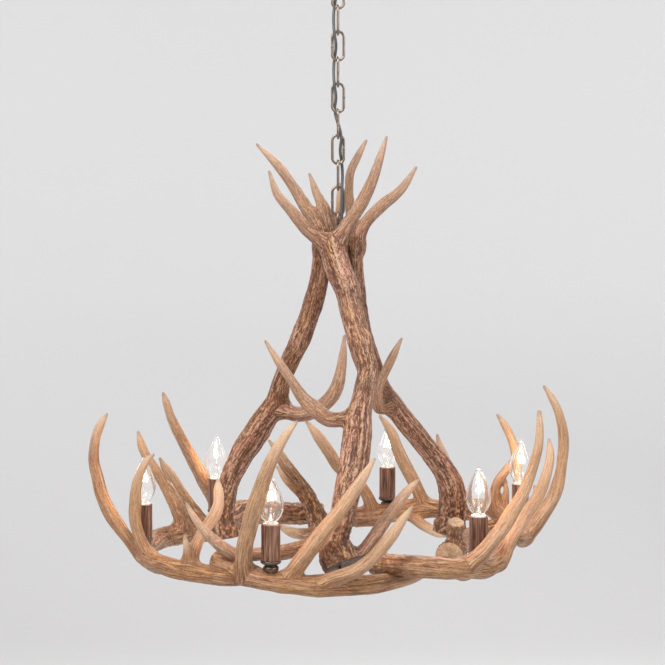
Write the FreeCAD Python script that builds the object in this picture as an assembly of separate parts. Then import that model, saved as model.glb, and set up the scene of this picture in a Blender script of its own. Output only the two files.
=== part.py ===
import FreeCAD, Part
import math
import os

os.makedirs("parts", exist_ok=True)

# Six-light antler chandelier, millimetres, +Z up. The origin is the middle of the
# ceiling plane under the crossbar, so everything hangs at negative z. The viewer of the
# front stands at -Y.

# ---------------------------------------------------------------- driving dimensions
CHAIN_LINKS = 10
CHAIN_PITCH = 37.0        # from one resting bar to the next
HINGE_TOP_Z = -70.0       # the bar that the first link hangs on
LINK_WIRE_R = 2.0
LINK_GAP = 0.3
LINK_WIDTH = 20.5
LINK_LENGTH = CHAIN_PITCH + 4 * LINK_WIRE_R + LINK_GAP
LOOP_R = 9.0
LOOP_WIRE_R = 2.0

STRAP_LENGTH, STRAP_WIDTH, STRAP_T = 112.0, 20.0, 2.0
BOX_SCREW_SPACING = 88.9
SLOT_LENGTH, SLOT_R = 15.0, 2.3
GROUND_R = 1.9
NIPPLE_R = 4.85
CANOPY_R, CANOPY_DEPTH, CANOPY_T = 62.5, 30.0, 1.0
CORD_R = 2.2
CORD_EXIT = (-17.0, 7.0)
BUSH_R = 4.2

EYE_R = LINK_WIDTH / 2 - LINK_WIRE_R
EYE_SHANK_R = 4.0
HUB_R = 13.0
HUB_TOP, HUB_BOTTOM = -462.0, -536.0
PIN_R = 3.0
PIN_Z = (-508.0, -518.0, -500.0)

SEAT_Z = -909.0           # the flat that each candle cup stands on
SEAT_R = 10.5
STEM_R = 4.85
STEM_DEEP = 15.0
CUP_R = 14.0
SLEEVE_R, SLEEVE_T = 13.0, 1.4
SLEEVE_TOP, SLEEVE_BOTTOM = -847.0, -894.9
SOCKET_R = 10.2
SOCKET_Z = SEAT_Z + 18.5
BASE_R = 5.9              # the small candelabra screw base
BASE_Z = SLEEVE_TOP - 17.0
BULB_T = 0.8
# radius and height above the sleeve's top, up the outside of the flame-shaped glass
BULB_OUT = [(6.05, -0.6), (6.1, 2.0), (8.5, 4.5), (12.2, 9.0), (15.4, 15.0), (17.2, 21.0), (17.5, 25.0),
            (16.9, 31.0), (15.2, 38.0), (12.4, 45.0), (9.0, 52.0), (5.6, 58.5), (2.8, 63.5), (1.0, 67.0), (0, 67.8)]

SCREW_R, SCREW_HEAD_R = 2.2, 4.2
BEAM_SIDES, TINE_SIDES = 12, 9
BEAM_STEP, TINE_STEP = 15.0, 14.0
TIP_R = 1.6
ROUND_UP = 1.02           # a flat-sided ring drawn this much larger has the section's mean radius

# the supply cord's line, from inside the canopy, in and out of the links, to the crown
CORD_ROUTE = [
    (-17, 7, -14),
    (-17, 7, -40),
    (-10, 7, -53),
    (-5.6, 7, -67.85),
    (-6.6, 0, -86.35),
    (-5.6, -7, -104.85),
    (-2.2, 0, -123.35),
    (-5.6, 7, -141.85),
    (-6.8, 0, -160.35),
    (-5.6, -7, -178.85),
    (-2.2, 0, -197.35),
    (-5.6, 7, -215.85),
    (-6.6, 0, -234.35),
    (-5.5, -7, -252.85),
    (-2.2, 0.3, -271.35),
    (-6.3, 6.1, -289.85),
    (6.3, -6.1, -326.85),
    (2.2, -0.3, -345.35),
    (5.5, 7, -363.85),
    (6.8, 0, -382.35),
    (5.6, -5.6, -400.85),
    (5, -6.6, -419.35),
    (5.6, -6.2, -437.85),
    (5.2, -7.2, -456),
    (5.3, -7.1, -478),
]

# each antler: its beam and its tines, as (x, y, z, radius) points along the middle
ANTLERS = {
    "upright_front": {
        "beam": [
            (-8.7, -24, -484, 18.7), (-3, -28, -503.9, 20.1), (2.6, -34, -520.9, 19.4),
            (13.3, -46, -546.1, 18.6), (16.2, -53, -560.1, 16.9), (22.3, -66, -588, 17.2),
            (30.8, -80, -615.3, 18.3), (36.1, -92, -635.3, 16.9), (41.6, -104, -655.1, 15.4),
            (37.4, -118, -674.8, 14.8), (33.2, -132, -694.2, 15.3), (27.7, -150, -720.1, 19),
            (26.2, -162, -739.3, 20.8), (19.1, -186, -784.1, 20.6), (9.6, -206, -821.9, 17.6),
            (3.4, -221, -853.4, 16.1), (-2, -227, -872.7, 16.1), (-2.6, -231, -886.8, 20.8),
            (2, -236, -898.1, 25.5),
        ],
        "crown_a": [
            (-11.7, -26, -484.2, 14.5), (-27.5, -28, -472.7, 11.7), (-45.5, -30, -458.6, 10),
            (-67.2, -33, -433, 7.9), (-86.8, -36, -409.2, 6.3), (-98.3, -38, -377.6, 2.1),
        ],
        "crown_b": [
            (-5.8, -26, -486.8, 14.4), (5.6, -27, -467.8, 12.2), (18.9, -29, -446.2, 10.5),
            (35.5, -31, -419, 9.4), (48.7, -33, -391, 8), (59.7, -35, -357.9, 6.1),
            (68.7, -36, -329.1, 2.1),
        ],
        "side": [
            (25.8, -150, -717.2, 15.2), (9.2, -147, -718.9, 11.2), (-13, -143, -719.4, 11.3),
            (-31, -140, -706.7, 11.5), (-47.9, -137, -691.9, 9.2), (-65.1, -133, -667.1, 6.9),
            (-83, -128, -641, 5.8), (-101.2, -122, -613.4, 2.1),
        ],
        "brow": [
            (-2, -228, -883.4, 16.1), (-22.2, -219, -878.3, 11.5), (-38.4, -214, -882, 10.1),
            (-72.3, -209, -892.5, 10.2), (-103.3, -212, -894.7, 9.5), (-124.6, -221, -894.2, 8.8),
            (-140.2, -230, -891.1, 8.7), (-155.3, -231, -882.1, 8.4), (-171.4, -224, -869.8, 7.4),
            (-184.1, -214, -858.7, 6.1), (-196.6, -203, -844.3, 4.7), (-206.5, -194, -829, 2),
        ],
        "bez": [
            (8.8, -230, -899.3, 13.4), (25.5, -233, -896, 10.7), (40.3, -229, -879.1, 9.7),
            (54.5, -223, -859.8, 9.1), (68.9, -215, -840.8, 8.4), (83.8, -212, -820.9, 7.4),
            (95.9, -210, -805.6, 5.7), (108.1, -208, -794.3, 2),
        ],
    },
    "upright_left": {
        "beam": [
            (-22.7, 12, -485, 12.7), (-24, 15, -508.4, 13.9), (-27.4, 18, -535, 14.4),
            (-35.2, 21, -564.4, 15.6), (-44.4, 25, -593.7, 14.3), (-55.7, 31, -623.2, 15.5),
            (-69.7, 39, -653.5, 14.4), (-82.7, 47, -684.6, 13.3), (-90.7, 54, -715.8, 16.5),
            (-110.5, 64, -747.1, 18.6), (-129, 74, -777.7, 19.7), (-144.3, 82, -800.9, 18.8),
            (-163.1, 92, -840.6, 16), (-169.2, 97, -867.8, 16.2), (-171.6, 100, -891.5, 17.2),
            (-169.9, 101, -910.1, 19), (-167, 101, -927, 21.3),
        ],
        "crown_a": [
            (-23.4, 12, -486.5, 13.2), (-26.2, 15, -466.2, 11.7), (-31.6, 17, -450.4, 11),
            (-46.9, 20, -428.5, 9.7), (-65.5, 24, -398.9, 7.9), (-88.1, 28, -367.7, 6.8),
            (-118.1, 31, -337.4, 2.2),
        ],
        "crown_b": [
            (-20.4, 14, -482.2, 11.7), (-14.4, 18, -456.1, 8.9), (-19.5, 22, -431.7, 9.2),
            (-30.8, 25, -409.3, 6.5), (-41.3, 27, -380.6, 2.2),
        ],
        "crown_c": [
            (-17.5, 14, -485.1, 10.9), (-4.4, 22, -459.1, 8), (2.2, 27, -435.8, 6.5),
            (2.8, 30, -415.4, 5.9), (2.2, 32, -395, 2.2),
        ],
        "side": [
            (-86.2, 57, -727.5, 17.9), (-74.5, 52, -732.3, 12.6), (-60.2, 46, -735.6, 11.5),
            (-38.9, 34, -730.6, 11.5), (-14.6, 18, -712.3, 11), (-1.9, 8, -691.2, 9.8),
            (4, 2, -667.5, 7.8), (7.3, -2, -641.4, 5.8), (9.4, -4, -615.2, 2.2),
        ],
    },
    "upright_right": {
        "beam": [
            (24.7, 11, -484.9, 12.4), (24.1, 13, -508.4, 13.2), (24.5, 16, -527.6, 13.5),
            (28.2, 24, -557.3, 13.2), (32.4, 29, -587.1, 13.1), (38.6, 35, -617, 13.1),
            (46.8, 42, -647.1, 13.7), (55, 48, -674.3, 14.9), (65.4, 54, -700.2, 15.5),
            (81.8, 61, -723.9, 15.7), (101.7, 69, -750.1, 16), (123.8, 78, -778, 15.9),
            (143, 86, -803.1, 16.2), (161.8, 93, -828.4, 17.5), (172.6, 98, -854.1, 20.5),
            (175.7, 101, -877.8, 22.4), (173, 103, -901.4, 23), (168.4, 103, -922.9, 22.5),
        ],
        "crown_a": [
            (26.2, 15, -485.1, 12.4), (22, 25, -457.7, 9.5), (18.5, 34, -433, 7.7),
            (16.3, 37, -403.7, 6.4), (17.8, 38, -379.6, 6.3), (28.6, 39, -355.7, 5.7),
            (41.2, 40, -331.6, 2.2),
        ],
        "crown_b": [
            (28, 14, -487.9, 11.6), (31.9, 17, -470.6, 9.8), (40.7, 20, -451, 9.1),
            (63.1, 24, -427.8, 8.9), (92.3, 27, -402.9, 7), (114.1, 29, -370.7, 2.2),
        ],
        "side": [
            (74.7, 58, -721.6, 14.9), (60.8, 37, -723.7, 10), (59.5, 28, -709.3, 7.7),
            (60.5, 24, -694.6, 6.7), (67.9, 22, -673.9, 6.5), (81.1, 22, -645.8, 6.1),
            (93.3, 24, -621.3, 2.2),
        ],
    },
    "ring_front": {
        "beam": [
            (-155.3, -203, -910.2, 21), (-144, -212, -912.5, 19.6), (-128.4, -226, -916.4, 17.5),
            (-113.1, -239, -919.8, 15.7), (-99.4, -248, -922, 14.3), (-64.5, -255, -925.9, 13.6),
            (-27.3, -255, -929.8, 14.4), (8.6, -255, -929.3, 14.2), (42.1, -252, -927.9, 13.5),
            (71.9, -240, -926.1, 12.1), (93.8, -228, -924.7, 9.5), (110.4, -216, -921.6, 7),
            (122.8, -207, -917.6, 4.1),
        ],
        "tine_a": [
            (-126.5, -238, -916.6, 13.4), (-126.4, -248, -895.7, 12.3), (-124.1, -257, -873.7, 11.3),
            (-119, -267, -851.7, 11.2), (-113.2, -276, -830.1, 11.4), (-107.8, -280, -812.2, 11.3),
            (-102.5, -280, -796.3, 10.7), (-96, -283, -777.3, 9.7), (-88.8, -282.5, -758.9, 8.5),
            (-78.1, -280, -738.1, 7.5), (-65.7, -276, -719.5, 5.2), (-55.3, -272, -707.5, 2),
        ],
        "tine_b": [
            (-74, -250, -925, 12.7), (-59.8, -257, -908.7, 11.3), (-46.4, -262, -890.2, 11.6),
            (-22.5, -268, -856.9, 10.9), (4.5, -268, -822.9, 9.9), (21.7, -264, -798.9, 8.6),
            (31.7, -260, -784.2, 7.3), (47.8, -250, -759.6, 2),
        ],
        "tine_c": [
            (-27.3, -257, -927.5, 11.3), (-4.7, -267, -916, 9.6), (19, -275, -906.3, 9.6),
            (38.7, -280, -891.9, 9.2), (55.7, -283, -874, 8.9), (71.4, -284, -853.9, 7.9),
            (83.8, -284, -835.4, 5.9), (96.3, -282, -818.5, 2),
        ],
    },
    "ring_left": {
        "beam": [
            (-124.8, -219, -925.4, 9.4), (-140.7, -224, -924.3, 12.1), (-156.7, -226, -922.5, 13.1),
            (-179.9, -222, -920, 13.5), (-214.9, -205, -918, 13.6), (-237.5, -180, -916.9, 13.4),
            (-252.6, -150, -919.2, 14.1), (-266.5, -120, -918.6, 13.7), (-276.1, -104, -916.9, 12.6),
            (-285.4, -103, -907.7, 10.5), (-295.5, -102, -895.6, 9.2), (-308.3, -97, -880, 10),
            (-322.2, -88, -862.1, 10.1), (-336, -77, -836, 9.2), (-343.5, -68, -811.1, 8.7),
            (-348.3, -62, -794.2, 8.2), (-349.5, -57, -780.4, 7.9), (-346.9, -54, -757.9, 6.8),
            (-339.7, -51, -737.9, 6), (-331.2, -49, -723.8, 2.1),
        ],
        "tine_a": [
            (-263.5, -125, -917.4, 11.9), (-272.6, -123, -900.8, 9.1), (-279.2, -121, -885.6, 8.5),
            (-284.7, -121, -861.6, 8.4), (-283.5, -122, -840.2, 9.1), (-283, -123, -825.2, 8),
            (-279.2, -124, -807.7, 6.9), (-274.3, -125, -793.5, 5.7), (-266.8, -125, -779.8, 4.5),
            (-257.8, -125, -771.8, 2.1),
        ],
        "tine_b": [
            (-198.1, -212, -913.8, 11.5), (-198.1, -202, -900.7, 9.2), (-194.2, -190, -887.9, 8.4),
            (-187, -174, -874.4, 8), (-178.4, -158, -862.7, 8.6), (-170.2, -145, -850.3, 8.7),
            (-166.4, -134, -838.2, 8), (-167.3, -127, -821, 7), (-168.2, -122, -807, 2.1),
        ],
        "stub": [
            (-204.3, -211, -911.3, 8.8), (-204.1, -212, -889.2, 6.1), (-207.6, -212, -872.8, 2.7),
        ],
    },
    "ring_back_left": {
        "beam": [
            (-273.7, -76, -916.5, 10.9), (-271.8, -48, -915.7, 13.5), (-269.1, -18, -915, 15.3),
            (-258.4, 20, -916.2, 15.6), (-237.8, 55, -917.7, 15.6), (-212.1, 94, -920.8, 16.1),
            (-191.6, 130, -924.6, 16.5), (-173.8, 165, -918.3, 18.8), (-156.6, 195, -911.5, 21.4),
            (-119.9, 225, -912.7, 20.9), (-83.7, 238, -917.2, 18.7), (-55.1, 241, -918.9, 17.7),
            (-24.7, 239, -919.7, 15.9),
        ],
        "tine_a": [
            (-240.5, 50, -914.3, 12.2), (-233.7, 46, -894.1, 9.6), (-240.6, 42, -873.7, 8.8),
            (-256.5, 36, -841.4, 8.2), (-270.2, 30, -816.7, 7.8), (-284, 25, -792.3, 6.7),
            (-290.3, 22, -775.4, 6), (-293.7, 20, -758.8, 2.2),
        ],
        "tine_b": [
            (-201, 110, -919.4, 13.7), (-212.5, 102, -902.6, 12.9), (-225, 97, -884.8, 12.5),
            (-237.9, 90, -863.8, 11.7), (-249.2, 82, -841.1, 10.2), (-258.3, 76, -822, 7.5),
            (-266.7, 70, -805.1, 2.2),
        ],
        "tine_c": [
            (-228.9, 58, -914.4, 11.2), (-232.1, 53, -896.9, 10.5), (-238.3, 48, -876.4, 9.7),
            (-245.3, 44, -856.2, 7.4), (-248.9, 40, -839.1, 2.2),
        ],
        "tine_d": [
            (-170.9, 172, -915, 17.1), (-185, 175, -895.1, 13.3), (-196.4, 172, -874.1, 11.7),
            (-206.8, 166, -855.1, 11.3), (-218.5, 158, -831.2, 10.4), (-233, 148, -800.2, 9.2),
            (-246, 139, -772.6, 8.1), (-255.8, 130, -748.4, 6.7), (-262.5, 122, -722.8, 5.2),
            (-265.9, 118, -711.7, 2.3),
        ],
    },
    "inner_back": {
        "beam": [
            (-19.9, 212, -941.3, 16.6), (-32.6, 209, -920.2, 17.3), (-39.5, 205, -901.9, 14.7),
            (-52.8, 198, -872.8, 11.4), (-68, 190, -850.8, 10.4), (-82.4, 182, -829.6, 9.6),
            (-90.2, 176, -814.6, 8.2), (-106.5, 168, -791.4, 2.3),
        ],
        "tine_a": [
            (-51.1, 203, -881.9, 9.1), (-64.9, 208, -875.8, 6.4), (-83.6, 212, -857.7, 4.8),
            (-95.1, 214, -839.2, 2.4),
        ],
        "brow": [
            (-27.7, 206, -925.8, 13.4), (-35.7, 196, -939.8, 9.7), (-58.9, 186, -941.1, 9.2),
            (-77.5, 178, -934.4, 7.1), (-91.6, 172, -924.6, 2.3),
        ],
    },
    "ring_back": {
        "beam": [
            (-5.6, 232, -921.7, 11.6), (19.9, 240, -923.7, 15.2), (52.2, 248, -924, 16.7),
            (80.9, 252, -919.8, 16.2), (108.2, 250, -913.2, 15.2), (139.5, 240, -909.5, 15.1),
            (165.8, 225, -908.9, 15.1), (189.8, 205, -908.1, 14.2), (210.6, 188, -908.4, 11.8),
            (228.1, 172, -907.1, 7),
        ],
        "tine_a": [
            (57.9, 248, -922.2, 13.3), (52.2, 245, -901, 10.3), (42.7, 240, -881.3, 9.4),
            (22.8, 228, -859.4, 9.8), (0.8, 215, -838.9, 9.9), (-11.8, 205, -817.1, 9.4),
            (-31.9, 193, -786.2, 8.4), (-48.8, 184, -763.2, 2.3),
        ],
        "tine_b": [
            (139.5, 240, -909.4, 13.6), (131.5, 240, -888.4, 10.8), (121.7, 237, -867, 10.7),
            (111.1, 233, -847.2, 10.7), (101.4, 229, -827.4, 10.3), (93.3, 226, -807.8, 9.5),
            (86.1, 223, -788.3, 8.3), (77.2, 219, -771.9, 6.3), (66.8, 215, -758.7, 2.4),
        ],
        "tine_c": [
            (177.8, 214, -909.7, 11.1), (180.5, 214, -876.2, 8.5), (174.7, 213, -841.3, 6.7),
            (168.1, 212, -819.2, 5.8), (160.5, 211, -803.7, 5.3), (157, 210, -788.8, 2.4),
        ],
        "tine_d": [
            (109.4, 249, -912.7, 12.2), (120, 238, -923.8, 8.8), (130.5, 222, -930.3, 8.5),
            (145.4, 198, -935.7, 8), (158.5, 178, -939, 6.6), (168.6, 165, -940.5, 2.3),
        ],
    },
    "ring_right": {
        "beam": [
            (50.9, -214, -905.9, 16.7), (66.8, -232, -905.4, 15.1), (82.2, -245, -903.6, 15),
            (101.9, -254, -903.2, 15.4), (121.6, -255, -904.6, 15), (149.1, -242, -909.3, 14.2),
            (178.1, -212, -914.5, 14.2), (201, -180, -919, 16.4), (216.8, -155, -914.3, 15.2),
            (230.1, -130, -905.1, 13.3), (240.7, -106, -897, 12), (248.1, -88, -891.8, 8.5),
        ],
        "tine_a": [
            (166.5, -222, -914.5, 13.5), (179.8, -224, -903.2, 12.1), (194.8, -221, -890.8, 11.5),
            (208.5, -217, -874.6, 10.8), (222.5, -210, -857.7, 10.5), (234.5, -203, -840.2, 10.2),
            (245.9, -196, -823.6, 9.2), (256.9, -187, -802.4, 8.3), (268.5, -176, -773.1, 7.2),
            (274.4, -171, -750.4, 6.3), (275.9, -167, -728.9, 5.5), (275.4, -164, -707, 3.4),
        ],
        "tine_b": [
            (220.7, -158, -915.1, 13.8), (229.9, -147, -903.2, 12.1), (238.3, -138, -888.1, 10.8),
            (249.6, -128, -873.7, 10.1), (262.4, -118, -857.1, 9.8), (275.9, -109, -841, 9.1),
            (286.6, -100, -824, 8.5), (294.4, -92, -803.9, 7.4), (299, -87, -787.5, 6.6),
            (300.3, -83, -771, 5.3), (298.7, -80, -756.1, 2.1),
        ],
    },
    "ring_back_right": {
        "beam": [
            (257, -70, -899.5, 10.7), (266.6, -32, -905.9, 12.3), (275.3, 10, -912.3, 13.2),
            (279.7, 52, -917.1, 13.8), (279.3, 92, -920, 14), (267.6, 128, -915, 13.4),
            (248.6, 158, -900, 13.2), (225.7, 182, -894.7, 11.7), (202.2, 203, -896.7, 8.7),
            (188.8, 214, -898.5, 4.7),
        ],
        "tine_a": [
            (267.4, -24, -907.4, 13.8), (282.6, -24, -892, 12.7), (297.8, -23, -870.8, 12),
            (312, -24, -848.8, 10.7), (319.9, -26, -822.2, 9.1), (322.8, -27, -806.5, 8.4),
            (325.5, -28, -782.9, 8.1), (326.2, -29, -764.8, 7.9), (323.1, -30, -741.7, 7.1),
            (316.3, -31, -718.8, 6.2), (306.5, -32, -700.3, 5), (296.6, -33, -685.4, 2.2),
        ],
        "tine_b": [
            (266, 128, -916.5, 12.3), (274.1, 130, -893.6, 9.1), (277, 131, -862.8, 7.8),
            (274.4, 131, -824.1, 6.9), (270, 129, -797.7, 6.7), (265.3, 127, -781.8, 6.7),
            (254, 124, -759.9, 5.9), (243.7, 121, -745.7, 2.3),
        ],
        "tine_c": [
            (248.6, 158, -901.6, 12.4), (243.7, 156, -879.3, 9.3), (244.1, 155, -865.1, 7.7),
            (249.2, 153, -850.7, 7.2), (260.8, 150, -833.7, 6.3), (269.9, 147, -814.9, 2.3),
        ],
        "tine_d": [
            (277.5, 2, -913, 8.8), (293.1, 20, -877.7, 6.7), (294.2, 26, -857.6, 6.1),
            (291, 30, -840.3, 2.2),
        ],
        "tine_e": [
            (258.4, 146, -907.3, 9.3), (259.6, 152, -888, 6.2), (261.1, 154, -869.6, 4.5),
            (260.1, 155, -853.5, 2.3),
        ],
    },
    "inner_right": {
        "beam": [
            (161.7, -32, -933.8, 18.9), (171.5, -4, -931.1, 16.1), (183.3, 40, -929.9, 14.9),
            (195.1, 80, -928.4, 13.6), (213.4, 102, -922.6, 12.2), (232.6, 114, -916.3, 10.7),
            (248.6, 122, -911.6, 8.4),
        ],
        "stub": [
            (173.9, 0, -929, 13.2), (170.1, -12, -905.9, 12.4), (171.7, -20, -886.8, 10.9),
        ],
    },
}

# where two antlers meet, the first is coped to sit against the second
COPED = [
    ("ring_front", "upright_front"),
    ("ring_back_left", "upright_left"),
    ("ring_left", "ring_front"),
    ("ring_back_left", "ring_left"),
    ("ring_right", "ring_front"),
    ("inner_back", "ring_back_left"),
    ("ring_back", "ring_back_left"),
    ("ring_back_right", "ring_back"),
    ("ring_back_right", "ring_right"),
    ("inner_right", "ring_back_right"),
    ("inner_right", "upright_right"),
]

# the screws that hold them: first antler, second antler, point under the head, direction, length
JOINING_SCREWS = [
    ("ring_front", "upright_front", (2.5, -260.9, -938.8), (-0.0095, 0.5214, 0.8533), 56.6),
    ("ring_back_left", "upright_left", (-209.8, 123.5, -924.4), (0.8813, -0.4713, 0.0346), 54.9),
    ("ring_left", "ring_front", (-136, -222.8, -932.5), (0.1611, 0.062, 0.985), 23.8),
    ("ring_right", "ring_front", (70.9, -234.3, -893.5), (0.0302, -0.1728, -0.9845), 37.3),
    ("inner_back", "ring_back_left", (-30.3, 196.1, -928.1), (0.0345, 0.9804, 0.1938), 49.7),
    ("ring_back", "ring_back_left", (2.1, 229.2, -922.5), (-0.9344, 0.3425, 0.0978), 34.2),
    ("ring_back_right", "ring_back", (203.9, 204.9, -892), (-0.32, -0.3543, -0.8787), 23.1),
    ("ring_back_right", "ring_right", (260, -63.9, -902.1), (-0.4138, -0.837, 0.358), 31.8),
    ("inner_right", "ring_back_right", (244.2, 119.6, -911), (0.8728, 0.4754, -0.1105), 29.5),
    ("inner_right", "upright_right", (205.4, 78.3, -929.8), (-0.8111, 0.5492, 0.2011), 52.9),
]

# candles: number, x, y, the antlers drilled for it
CANDLES = [
    ("1", -90, -252, ('ring_front',)),
    ("2", 191, -190, ('ring_right',)),
    ("3", 80, 260, ('ring_back',)),
    ("4", 276, 90, ('ring_back_right',)),
    ("5", -275.7, -92, ('ring_left', 'ring_back_left')),
    ("6", -187, 145, ('ring_back_left',)),
]

# ---------------------------------------------------------------- helpers
V = FreeCAD.Vector
Z_AXIS = V(0, 0, 1)


def save(name, shape):
    assert len(name) < 60
    shape.exportStep("parts/" + name + ".step")
    print(name, "solids", len(shape.Solids), "faces", len(shape.Faces),
          "cm3 %.2f" % (shape.Volume / 1000), "valid", shape.isValid())


def cylinder(x, y, z, r, h, direction=None):
    return Part.makeCylinder(r, h, V(x, y, z), direction or Z_AXIS)


def prism(sides, r, p, direction, length, turn=0.0):
    """A flat-sided round bar of circumscribed radius r from p along direction."""
    d = V(*direction)
    d.normalize()
    ref = V(1, 0, 0) if abs(d.x) < 0.8 else V(0, 1, 0)
    a = d.cross(ref)
    a.normalize()
    b = d.cross(a)
    pts = []
    for i in range(sides):
        t = 2 * math.pi * i / sides + turn
        pts.append(V(*p) + a * (r * math.cos(t)) + b * (r * math.sin(t)))
    return Part.Face(Part.makePolygon(pts + [pts[0]])).extrude(d * length)


def revolve(profile, x=0.0, y=0.0, z=0.0):
    """A solid of revolution about a vertical axis from (radius, height) points."""
    pts = [V(x + r, y, z + h) for r, h in profile]
    face = Part.Face(Part.makePolygon(pts + [pts[0]]))
    return face.revolve(V(x, y, z), Z_AXIS, 360)


def spline(points, step):
    """Centripetal Catmull-Rom through (x, y, z, r) points, about one ring per step mm."""
    p = [list(q) for q in points]
    p = [[2 * a - b for a, b in zip(p[0], p[1])]] + p + [[2 * a - b for a, b in zip(p[-1], p[-2])]]

    def gap(a, b):
        return max(math.sqrt(sum((a[i] - b[i]) ** 2 for i in range(3))), 1e-6)

    out = []
    for i in range(1, len(p) - 2):
        a, b, c, d = p[i - 1:i + 3]
        n = max(int(round(gap(b, c) / step)), 1)
        t0 = 0.0
        t1 = t0 + gap(a, b) ** 0.5
        t2 = t1 + gap(b, c) ** 0.5
        t3 = t2 + gap(c, d) ** 0.5
        for k in range(n):
            t = t1 + (t2 - t1) * k / n

            def mix(u, v, ta, tb):
                return [((tb - t) * m + (t - ta) * w) / (tb - ta) for m, w in zip(u, v)]

            a1, a2, a3 = mix(a, b, t0, t1), mix(b, c, t1, t2), mix(c, d, t2, t3)
            out.append(mix(mix(a1, a2, t0, t2), mix(a2, a3, t1, t3), t1, t2))
    out.append(p[-2])
    return out


def limb(points, sides, step, start_dome=0.6, end_dome=0.6):
    """A closed flat-faced tapering tube round a curved line, with domed ends."""
    line = spline(points, step)
    pos = [V(q[0], q[1], q[2]) for q in line]
    rad = [max(q[3], TIP_R) * ROUND_UP for q in line]
    tangents = []
    for i in range(len(pos)):
        t = pos[min(i + 1, len(pos) - 1)] - pos[max(i - 1, 0)]
        t.normalize()
        tangents.append(t)
    ref = V(0, 0, 1) if abs(tangents[0].z) < 0.8 else V(1, 0, 0)
    a = tangents[0].cross(ref)
    a.normalize()
    rings = []

    def ring(c, r, t, a):
        b = t.cross(a)
        return [c + a * (r * math.cos(2 * math.pi * k / sides))
                + b * (r * math.sin(2 * math.pi * k / sides)) for k in range(sides)]

    frames = []
    for i, t in enumerate(tangents):
        a = a - t * a.dot(t)
        a.normalize()
        frames.append(V(a))
        if i == 0:
            rings.append(ring(pos[0] - t * (rad[0] * start_dome), rad[0] * 0.62, t, a))
        rings.append(ring(pos[i], rad[i], t, a))
        if i == len(tangents) - 1:
            rings.append(ring(pos[i] + t * (rad[i] * end_dome), rad[i] * 0.62, t, a))
    first = pos[0] - tangents[0] * (rad[0] * start_dome * 1.25)
    last = pos[-1] + tangents[-1] * (rad[-1] * end_dome * 1.25)
    faces = []

    def tri(p, q, r):
        faces.append(Part.Face(Part.makePolygon([p, q, r, p])))

    for k in range(sides):
        m = (k + 1) % sides
        tri(first, rings[0][m], rings[0][k])
        tri(last, rings[-1][k], rings[-1][m])
        for i in range(len(rings) - 1):
            p, q, r, s = rings[i][k], rings[i][m], rings[i + 1][m], rings[i + 1][k]
            tri(p, q, r)
            tri(p, r, s)
    shell = Part.makeShell(faces)
    solid = Part.makeSolid(shell)
    if solid.Volume < 0:
        solid.reverse()
    return solid


def biggest(shape):
    return max(shape.Solids, key=lambda s: s.Volume)


def antler(name):
    limbs = ANTLERS[name]
    shape = None
    for key in limbs:
        beam = key == "beam"
        made = limb(limbs[key], BEAM_SIDES if beam else TINE_SIDES, BEAM_STEP if beam else TINE_STEP)
        shape = made if shape is None else shape.fuse(made)
    return biggest(shape)


def link(cx, cy, zc, broad, length=LINK_LENGTH, width=LINK_WIDTH, wire=LINK_WIRE_R):
    """One welded oval link, centred at zc: two half rings and two straight sides."""
    rr = width / 2 - wire
    half = length / 2 - wire - rr
    side = V(1, 0, 0) if broad else V(0, 1, 0)
    turn = V(0, 1, 0) if broad else V(-1, 0, 0)
    top, bottom = V(cx, cy, zc + half), V(cx, cy, zc - half)

    def disc(p, n):
        return Part.Face(Part.Wire([Part.makeCircle(wire, p, n)]))

    parts = [disc(top + side * rr, Z_AXIS).revolve(top, turn, -180),
             disc(bottom - side * rr, Z_AXIS).revolve(bottom, turn, -180),
             disc(bottom + side * rr, Z_AXIS).extrude(V(0, 0, 2 * half)),
             disc(bottom - side * rr, Z_AXIS).extrude(V(0, 0, 2 * half))]
    return parts[0].fuse(parts[1:])


def ring(cx, cy, zc, radius, wire, broad):
    return Part.makeTorus(radius, wire, V(cx, cy, zc), V(0, 1, 0) if broad else V(1, 0, 0))


def cord_tube(points, r):
    """Straight runs joined by tangent arcs, swept with a round section."""
    p = [V(*q) for q in points]
    edges, here, radii = [], p[0], []
    for i in range(1, len(p) - 1):
        a, b = p[i - 1] - p[i], p[i + 1] - p[i]
        short = min(a.Length, b.Length)
        a.normalize()
        b.normalize()
        half = (math.pi - a.getAngle(b)) / 2
        back = 0.45 * short
        radii.append(back / math.tan(half))
        start, end = p[i] + a * back, p[i] + b * back
        mid_dir = a + b
        mid_dir.normalize()
        centre = p[i] + mid_dir * (radii[-1] / math.cos(half))
        mid = centre - mid_dir * radii[-1]
        if (start - here).Length > 1e-6:
            edges.append(Part.makeLine(here, start))
        edges.append(Part.Arc(start, mid, end).toShape())
        here = end
    edges.append(Part.makeLine(here, p[-1]))
    path = Part.Wire(edges)
    d = p[1] - p[0]
    tube = path.makePipeShell([Part.Wire([Part.makeCircle(r, p[0], d)])], True, False)
    solid = tube if tube.ShapeType == "Solid" else Part.makeSolid(tube)
    print("cord length %.1f, section x length %.0f, volume %.0f, smallest radii %s" % (
        path.Length, math.pi * r * r * path.Length, solid.Volume,
        ", ".join("%.0f" % q for q in sorted(radii)[:4])))
    print("cord arc radii", ["%.0f" % q for q in radii])
    return solid


# ---------------------------------------------------------------- ceiling fitting
z_hinge = [HINGE_TOP_Z - CHAIN_PITCH * k for k in range(CHAIN_LINKS + 1)]

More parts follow.
